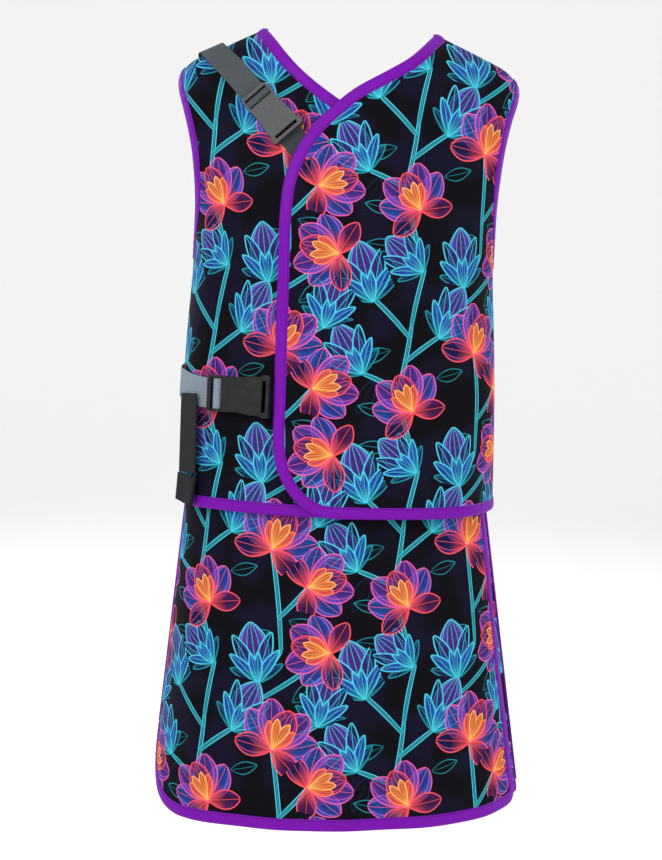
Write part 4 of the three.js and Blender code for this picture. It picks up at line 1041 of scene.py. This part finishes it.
# Square to the fold, towards the flap's free edge
FOLD_OUT = Vector((fold_run.z, 0, -fold_run.x))
FOLD_MIDDLE = (Vector((FOLD_TOP[0], 0, FOLD_TOP[1])) + Vector((FOLD_HEM[0], 0, FOLD_HEM[1]))) / 2
FLAP_BEND = (("garment", "flap"), tuple((FOLD_MIDDLE - FOLD_OUT * FOLD_SPREAD) * MM),
             tuple((FOLD_MIDDLE + FOLD_OUT * FOLD_SPREAD) * MM))
SKIRT_BEND_END = SKIRT_HEM_Z + 60
SKIRT_BEND = (("garment", "skirt_front_panel"), (0, 0, SKIRT_SPLIT_Z * MM), (0, 0, SKIRT_BEND_END * MM))


def add_panel(name, panel, parts, motion):
    """A panel's cover, shielding and lining.

    parts are the CAD panels that it stands for, and motion is a body's name or a bend.
    """
    stuff = {"shell": (SHELL, PRINT, "printed_fabric"), "core": (CORE, SHEETING, "shielding_sheet"),
             "lining": (LINING, LINED, "lining_fabric")}
    width, length, area = panel.cut_size()
    for layer, (depths, material, slot) in stuff.items():
        nodes = [f"{part}_{layer}" for part in parts]
        piece = slab(f"{name}_{layer}_cloth", panel, panel.grid, depths, material, slot)
        move(piece, motion, *nodes)
        if layer != "core":
            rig.sheet(piece, flat=(width, length), held="hung", rests_on=[f"{name}_core_cloth"], area=area)


def station(x, z, lift, back=False):
    """A place on the vest's form, lifted above it, and the way its face looks."""
    z = np.array([float(z)])
    s = vest.across_at(np.array([float(x)]), z, back)
    angle = vest.angle_at(s, z, back)
    normal = vest.normal(angle, z)[0]
    swell = vest_relief(s, z, back)[0]
    return vest.point(angle, z)[0] + normal * (lift + swell), normal


class Buckle:
    """The frame of a buckle: u runs towards its sewn end, v across and w up from the fabric."""

    DRAWN_WEBBING = 32
    REST = 1.2

    def __init__(self, name, centre, heading, width):
        self.name, self.centre, self.heading, self.width = name, centre, heading, width
        self.scale = width / self.DRAWN_WEBBING
        here, self.w = station(*centre, 0)
        ahead, _ = station(centre[0] + heading[0], centre[1] + heading[1], 0)
        self.v = unit(np.cross(self.w, ahead - here))
        self.u = unit(np.cross(self.v, self.w))
        self.origin = here + self.w * (self.REST - UNDER_DEPTH)

    def at(self, a, b, c):
        return self.origin + (self.u * a + self.v * b + self.w * c) * self.scale

    def place(self, a, c, tip=0.0):
        """A station on the buckle's centre line. tip turns its face from w towards u, in degrees."""
        turn = math.radians(tip)
        return self.at(a, 0, c), self.w * math.cos(turn) + self.u * math.sin(turn)

    def along(self, distance, lift):
        """A station on the vest, that far along the buckle's heading from its centre."""
        run = math.hypot(*self.heading)
        return station(self.centre[0] + self.heading[0] / run * distance,
                       self.centre[1] + self.heading[1] / run * distance, lift)


shoulder = Buckle("shoulder_buckle", (-98, -111), (45, -48), 32)
waist = Buckle("waist_buckle", (-128, -463), (50, 0), 38)
SIDE = 1e6                       # far beyond the side, so a station lands on the side seam

PRINT = print_material()
SHEETING = woven("shielding_sheet", srgb(44, 46, 50), srgb(70, 72, 76), 3.0, 0.6, 0.0002)
LINED = woven("black_lining", srgb(20, 20, 25), srgb(46, 47, 56), 1.1, 0.8, 0.0003)
TAPED = binding_material()
GREY_WEB = webbing_material("grey_webbing", srgb(30, 33, 34), srgb(80, 86, 89))
PALE_WEB = webbing_material("pale_webbing", srgb(66, 76, 84), srgb(132, 146, 158))
DARK_WEB = webbing_material("dark_grey_webbing", srgb(30, 32, 34), srgb(66, 68, 72))
BLACK_WEB = webbing_material("black_webbing", srgb(8, 9, 10), srgb(36, 39, 41))
GREY_PLASTIC = plastic_material("grey_plastic", srgb(44, 46, 49), srgb(66, 68, 72), 0.42)
BLACK_PLASTIC = plastic_material("black_plastic", srgb(8, 9, 11), srgb(20, 22, 25), 0.45)
PILE = pile_material()


# ---- panels -----------------------------------------------------------------------------------------
SEAM_GAP = 0.3                   # each panel stops this far short of a seam
BACK_NECK = (109.7, 100)
HEM_CORNER = (75, 95)
CHEST_CORNER = 5 / 6             # where the flap's edge ends and its neckline begins, along the chest curve
chest = spline([(110, 0), (78, -36), FOLD_TOP, (0, -84), (-50, -134), (-76, -188), (FLAP_EDGE_X, -245)])
right_neck = spline([(-110, 0), (-83, -33), (-51, -63), (-13, -91), (28, -117), (UNDER_EDGE_X, -140)])
corner_centre = (FLAP_EDGE_X + HEM_CORNER[0], HEM_Z + HEM_CORNER[1])


def backwards(curve):
    return lambda u: curve(1 - u)


def side_seam(back, sign):
    return beside(vest, back, sign, HEM_Z, UNDERARM_Z, SEAM_GAP)


def armhole(back, sign):
    return beside(vest, back, sign, UNDERARM_Z, SHOULDER_TIP_Z,
                  lambda u: SEAM_GAP + ARMHOLE_HALF * np.abs(np.sin(np.pi * u)) ** 0.8)


def shoulder_seam(back, sign):
    return beside(vest, back, sign, SHOULDER_TIP_Z, 0, SEAM_GAP)


def front(curve):
    return on_body(vest, curve)


def side_end(back, sign):
    return sign * (float(vest.girth(HEM_Z, back)) - SEAM_GAP)


def make_left_front():
    """The left front and the flap that folds back from it, as one piece of cloth."""
    rise = [front(arc(corner_centre, HEM_CORNER, 225, 180)),
            front(line((FLAP_EDGE_X, corner_centre[1]), (FLAP_EDGE_X, -245))),
            front(part_of(chest, 1, CHEST_CORNER))]
    low = [line((side_end(False, 1), HEM_Z), (vest.across_at(corner_centre[0], HEM_Z), HEM_Z)),
           front(arc(corner_centre, HEM_CORNER, 270, 225))]
    side, side_marks = joined(side_seam(False, 1), armhole(False, 1))
    edge, edge_marks = joined(*rise)
    hem, _ = joined(*low)
    top, top_marks = joined(shoulder_seam(False, 1), front(part_of(chest, 0, CHEST_CORNER)))
    panel = Panel(vest, vest_relief, side, edge, hem, top, cells=(110, 130),
                  marks=(top_marks, side_marks + edge_marks))
    add_panel("left_front", panel, ("left_front", "flap"), FLAP_BEND)
    rim, _ = joined(front(chest), front(line((FLAP_EDGE_X, -245), (FLAP_EDGE_X, corner_centre[1]))),
                    front(arc(corner_centre, HEM_CORNER, 180, 270)), backwards(low[0]))
    bend(tape("left_front_tape", panel, rim, TAPED), *FLAP_BEND,
         "left_neck_binding", "flap_binding", "left_front_hem_binding")
    put(tape("left_armhole_front_tape", panel, armhole(False, 1)(SAMPLES), TAPED), "garment",
        "left_armhole_front_binding")
    return panel


def make_right_front():
    """The right front, which lies under the flap except beside its own seams."""
    def depth(x, s, z):
        return UNDER_DEPTH * smooth(x, -195, -140) * smooth(-z, 12, 75)

    side, side_marks = joined(side_seam(False, -1), armhole(False, -1))
    low = line((side_end(False, -1), HEM_Z), (vest.across_at(UNDER_EDGE_X, HEM_Z), HEM_Z))
    rise = front(line((UNDER_EDGE_X, HEM_Z), (UNDER_EDGE_X, -140)))
    top, top_marks = joined(shoulder_seam(False, -1), front(right_neck))
    panel = Panel(vest, vest_relief, side, rise(SAMPLES), low(SAMPLES), top, depth=depth, cells=(90, 120),
                  marks=(top_marks, side_marks))
    add_panel("right_front", panel, ("right_front",), "garment")
    rim, _ = joined(low, rise, backwards(front(right_neck)))
    put(tape("right_front_tape", panel, rim, TAPED), "garment", "right_front_binding")
    put(tape("right_armhole_front_tape", panel, backwards(armhole(False, -1))(SAMPLES), TAPED), "garment",
        "right_armhole_front_binding")
    return panel


def make_back():
    """The vest's back, from side seam to side seam, with a scooped neck."""
    left, marks = joined(side_seam(True, 1), armhole(True, 1))
    right, _ = joined(side_seam(True, -1), armhole(True, -1))
    low = line((side_end(True, 1), HEM_Z), (side_end(True, -1), HEM_Z))
    scoop = on_body(vest, arc((0, 0), BACK_NECK, 0, -180), True)
    top, top_marks = joined(shoulder_seam(True, 1), scoop, backwards(shoulder_seam(True, -1)))
    panel = Panel(vest, vest_relief, left, right, low(SAMPLES), top, back=True, cells=(120, 120),
                  marks=(top_marks, marks))
    add_panel("back", panel, ("back",), "garment")
    put(tape("back_neck_tape", panel, scoop(SAMPLES), TAPED), "garment", "back_neck_binding")
    put(tape("back_hem_tape", panel, backwards(low)(SAMPLES), TAPED), "garment", "back_hem_binding")
    put(tape("left_armhole_back_tape", panel, armhole(True, 1)(SAMPLES), TAPED), "garment",
        "left_armhole_back_binding")
    put(tape("right_armhole_back_tape", panel, backwards(armhole(True, -1))(SAMPLES), TAPED), "garment",
        "right_armhole_back_binding")


SEAM_HALF = 2.4                  # room beside a skirt seam for its piping
PIPING_RADIUS = 1.8
SKIRT_UNDER = 10                 # how far the side panel lies below the front panel
FREE_EDGE_SHARE = 0.972
SIDE_PANEL_SHARE = 0.6
FREE_CORNER = 20                 # radius of the front's corner at its free edge
WAISTBAND_HEIGHT = 35
WAISTBAND_INSET = 4              # a waistband stops this far short of a seam
WAISTBAND = (-2.0, -0.4)         # depths below the face, so raised above it
vent_top = SKIRT_HEM_Z + VENT


def skirt_seam(back, sign, low, high):
    return beside(skirt, back, sign, low, high, SEAM_HALF)


def skirt_share(share, low, high):
    """An edge that keeps to a share of the skirt's half-width."""
    def at(u):
        z = lerp(low, high, u)
        return np.stack([skirt.across_at(share * skirt.size(z)[..., 0], z), z], -1)
    return at


def skirt_seam_at(back, sign, z):
    return sign * (float(skirt.girth(z, back)) - SEAM_HALF)


def vent_centre(back):
    return skirt_seam_at(back, -1, vent_top) + VENT, vent_top


def make_skirt_front():
    """The front, rounded at the wearer's right, that wraps over the side panel."""
    vent, radii = vent_centre(False), (VENT, VENT)
    free_x = skirt_share(FREE_EDGE_SHARE, SKIRT_HEM_Z, vent_top)(np.zeros(1))[0, 0]
    free, small = (free_x - FREE_CORNER, SKIRT_HEM_Z + FREE_CORNER), (FREE_CORNER, FREE_CORNER)
    seam = skirt_seam(False, -1, vent_top, SKIRT_TOP_Z)
    free_edge = skirt_share(FREE_EDGE_SHARE, free[1], SKIRT_TOP_Z)
    floor = line((vent[0], SKIRT_HEM_Z), (free[0], SKIRT_HEM_Z))
    side, side_marks = joined(arc(vent, radii, 225, 180), seam)
    edge, _ = joined(arc(free, small, 315, 360), free_edge)
    hem, _ = joined(arc(vent, radii, 225, 270), floor, arc(free, small, 270, 315))
    ends = seam(np.ones(1))[0], free_edge(np.ones(1))[0]
    panel = Panel(skirt, skirt_relief, side, edge, hem, line(*ends)(SAMPLES), cells=(120, 120),
                  marks=((), side_marks))
    add_panel("skirt_front", panel, ("skirt_front", "skirt_front_yoke"), SKIRT_BEND)
    rim, _ = joined(arc(vent, radii, 180, 270), floor, arc(free, small, 270, 360), free_edge)
    bend(tape("skirt_front_tape", panel, rim, TAPED), *SKIRT_BEND, "skirt_front_binding",
         "skirt_front_yoke_binding")
    return panel


def make_skirt_back():
    """The skirt's back, rounded at the wearer's right too."""
    vent, radii = vent_centre(True), (VENT, VENT)
    side = skirt_seam(True, 1, SKIRT_HEM_Z, SKIRT_TOP_Z)
    other = skirt_seam(True, -1, vent_top, SKIRT_TOP_Z)
    floor = line((vent[0], SKIRT_HEM_Z), (skirt_seam_at(True, 1, SKIRT_HEM_Z), SKIRT_HEM_Z))
    edge, edge_marks = joined(arc(vent, radii, 225, 180), other)
    hem, _ = joined(backwards(floor), arc(vent, radii, 270, 225))
    ends = side(np.ones(1))[0], other(np.ones(1))[0]
    panel = Panel(skirt, skirt_relief, side(SAMPLES), edge, hem, line(*ends)(SAMPLES), back=True,
                  cells=(120, 120), marks=((), edge_marks))
    add_panel("skirt_back", panel, ("skirt_back",), "garment")
    rim, _ = joined(arc(vent, radii, 180, 270), floor)
    put(tape("skirt_back_tape", panel, rim, TAPED), "garment", "skirt_back_binding")
    return panel


def make_skirt_side():
    """From the seam at the wearer's left, forward under the front panel's free edge."""
    def depth(x, s, z):
        return SKIRT_UNDER * smooth(skirt.girth(z) - s, SEAM_HALF, 20)

    seam = skirt_seam(False, 1, SKIRT_HEM_Z, SKIRT_TOP_Z)
    hidden = skirt_share(SIDE_PANEL_SHARE, SKIRT_HEM_Z, SKIRT_TOP_Z)
    floor = line(hidden(np.zeros(1))[0], seam(np.zeros(1))[0])
    top = line(seam(np.ones(1))[0], hidden(np.ones(1))[0])
    panel = Panel(skirt, skirt_relief, seam(SAMPLES), hidden(SAMPLES), backwards(floor)(SAMPLES),
                  top(SAMPLES), depth=depth, cells=(40, 110))
    add_panel("skirt_side", panel, ("skirt_side",), "garment")
    rim, _ = joined(backwards(hidden), floor)
    put(tape("skirt_side_tape", panel, rim, TAPED), "garment", "skirt_side_binding")
    return panel


# ---- closures and trims -----------------------------------------------------------------------------
UNDER_PATCH, FACE_PATCH = (5.1, 6.0), (-1.2, -0.3)


def patch(name, panel, across, heights, layer, material, slot, motion, node):
    """A rectangle sewn to a panel, between two places across and two heights."""
    middle = sum(heights) / 2
    low, high = (float(panel.form.across_at(x, middle)) for x in across)
    grid = patch_grid((low, heights[0]), (high, heights[1]))
    piece = slab(name, panel, grid, layer, material, slot)
    move(piece, motion, node)
    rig.sheet(piece, flat=((high - low) * MM, (heights[1] - heights[0]) * MM), held="hung")


def waistband(name, panel, low, high, node):
    """Webbing round the top of a skirt panel, between two distances round the body."""
    heights = (SKIRT_TOP_Z - WAISTBAND_HEIGHT, SKIRT_TOP_Z)
    grid = patch_grid((low, heights[0]), (high, heights[1]))
    piece = slab(name, panel, grid, WAISTBAND, BLACK_WEB, "black_webbing")
    put(piece, "garment", node)
    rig.sheet(piece, flat=((high - low) * MM, WAISTBAND_HEIGHT * MM), held="hung")


def piping(name, angle, low, node):
    """A violet cord sewn into a side seam of the skirt."""
    z = np.linspace(low, SKIRT_TOP_Z, 120)
    centre = skirt.point(np.full_like(z, angle), z)
    turn = np.linspace(0, 2 * math.pi, 12, endpoint=False)
    ring = np.stack([np.cos(turn), np.sin(turn), 0 * turn], -1) * PIPING_RADIUS
    flat = np.stack(np.broadcast_arrays(z[:, None], turn[None, :] * PIPING_RADIUS), -1)
    put(sweep(name, centre[:, None] + ring[None], flat, TAPED, "binding_tape"), "garment", node)


# ---- straps and buckles -----------------------------------------------------------------------------
TAB_DIP = 36                     # just past the bar, a tab drops to the fabric
UNDER_FLAP = -9.7                # underside of a tab, between the right front and the flap
# The waist strap's free end, and the fold it ends in
TAIL_X, TAIL_HEIGHTS, TAIL_LIFT = -186, (-467, -500, -535, -568), 6.5
END_HEIGHTS, END_LIFT, END_SLANT, END_THICK = (-572, -607), 5.2, 3, 4.8
# The webbing's way through a plug: under its first bar, up, over its second and down again: (u, w, tip)
THREADED = ((-40, 1.4, 0), (-35, 1.4, 0), (-31.2, 2.4, -30), (-29.2, 5.2, -78), (-28.2, 8.3, -60),
            (-27, 9.6, -20), (-25.5, 9.9, 0), (-24, 9.6, 20), (-22.9, 8.3, 60), (-22.3, 5.6, 80),
            (-22, 3.4, 88))


STRAP_BEND = (-75, -42)          # a strap bends between these places along its buckle


def strap(name, buckle, way, material, plug):
    """Webbing from the back, over the side, and through the buckle's plug."""
    stations = way + [buckle.place(*step) for step in THREADED]
    piece = band(name, stations, buckle.width, material, "grey_webbing")
    start, end = (buckle.at(u, 0, 5) * MM for u in STRAP_BEND)
    bend(piece, ("garment", plug), tuple(start), tuple(end), name.removesuffix("_band"))


def tab(name, buckle, distances, material, slot):
    """Webbing from a socket's bar to where it is sewn, under the flap's edge."""
    stations = [buckle.place(30.5, 0.8), buckle.place(TAB_DIP, -1.2)]
    stations += [buckle.along(d, UNDER_FLAP) for d in distances]
    put(band(f"{name}_band", stations, buckle.width, material, slot), frame_body(name), name)


def frame_body(node):
    """The body that a CAD node is on."""
    return next(body for body, nodes in frame["record"]["behaviour"]["bodies"].items() if node in nodes)


def make_straps():
    strap("shoulder_strap_band", shoulder,
          [station(-193, -118, 2.2, True), station(-191, -92, 2.6, True), station(-187, -68, 3, True),
           station(-181, -48, 3.6, True), station(-SIDE, -33, 4.2), station(-164, -44, 2.5),
           station(-148, -58, 0)], GREY_WEB, "shoulder_plug")
    strap("waist_strap_band", waist,
          [station(x, z, 2.6, True) for x, z in ((-150, -448), (-172, -450), (-190, -452), (-199, -454))]
          + [station(x, z, 2.6) for x, z in ((-SIDE, -456), (-197, -458), (-187, -461))],
          PALE_WEB, "waist_plug")
    tab("shoulder_tab", shoulder, (50, 62, 76), DARK_WEB, "grey_webbing")
    tab("waist_tab", waist, (44.5, 56, 70), BLACK_WEB, "black_webbing")
    tail = [station(TAIL_X, z, TAIL_LIFT) for z in TAIL_HEIGHTS]
    put(band("waist_tail_band", tail, waist.width, BLACK_WEB, "black_webbing"), "waist_tail", "waist_tail")
    end = [station(TAIL_X - END_SLANT * k, z, END_LIFT) for k, z in enumerate(END_HEIGHTS)]
    put(band("waist_tail_end", end, waist.width, BLACK_WEB, "black_webbing", END_THICK), "waist_tail",
        "waist_tail_fold")


PLASTIC_ROUND = 0.8              # mm taken off the buckles' edges
PLASTIC_EDGE = math.radians(35)  # where faces meet at more than this


def finish_buckles():
    """The buckles' own nodes, with softened edges and moulded plastic."""
    for buckle, material in ((shoulder, GREY_PLASTIC), (waist, BLACK_PLASTIC)):
        for part in ("plug", "prong_upper", "prong_lower", "socket"):
            node = frame["nodes"][f"{buckle.name}_{part}"]
            node.data.materials.clear()
            node.data.materials.append(material)
            soften = node.modifiers.new("soften", "BEVEL")
            soften.width = PLASTIC_ROUND * MM
            soften.segments = 3
            soften.limit_method = "ANGLE"
            soften.angle_limit = PLASTIC_EDGE
            soften.harden_normals = True


def save_sizes():
    with open("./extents.json", "w") as out:
        json.dump({"cad": cad_box, "visual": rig.bounds()}, out, indent=1, default=list)


make_camera()
make_studio()
left_panel = make_left_front()
right_panel = make_right_front()
make_back()
skirt_front = make_skirt_front()
skirt_back = make_skirt_back()
skirt_side = make_skirt_side()
patch("flap_hook", left_panel, (-48, 12), (-406, -321), UNDER_PATCH, PILE, "hook_and_loop", FLAP_BEND,
      "flap_hook_patch")
patch("right_front_loop", right_panel, (-45, 45), (-396, -290), FACE_PATCH, PILE, "hook_and_loop", "garment",
      "right_front_loop_patch")
patch("skirt_hook", skirt_front, (90, 128), (-528, -432), UNDER_PATCH, PILE, "hook_and_loop", "garment",
      "skirt_hook_patch")
patch("skirt_loop", skirt_side, (146, 180), (-628, -518), FACE_PATCH, PILE, "hook_and_loop", "garment",
      "skirt_loop_patch")
waistband("skirt_front_band", skirt_front, skirt_seam_at(False, -1, SKIRT_TOP_Z) + WAISTBAND_INSET, 128,
          "skirt_front_waistband")
waistband("skirt_back_band", skirt_back, skirt_seam_at(True, -1, SKIRT_TOP_Z) + WAISTBAND_INSET,
          skirt_seam_at(True, 1, SKIRT_TOP_Z) - WAISTBAND_INSET, "skirt_back_waistband")
piping("skirt_right_cord", -math.pi, vent_top, "skirt_right_piping")
piping("skirt_left_cord", 0, SKIRT_HEM_Z + BINDING, "skirt_left_piping")
make_straps()
finish_buckles()
save_sizes()
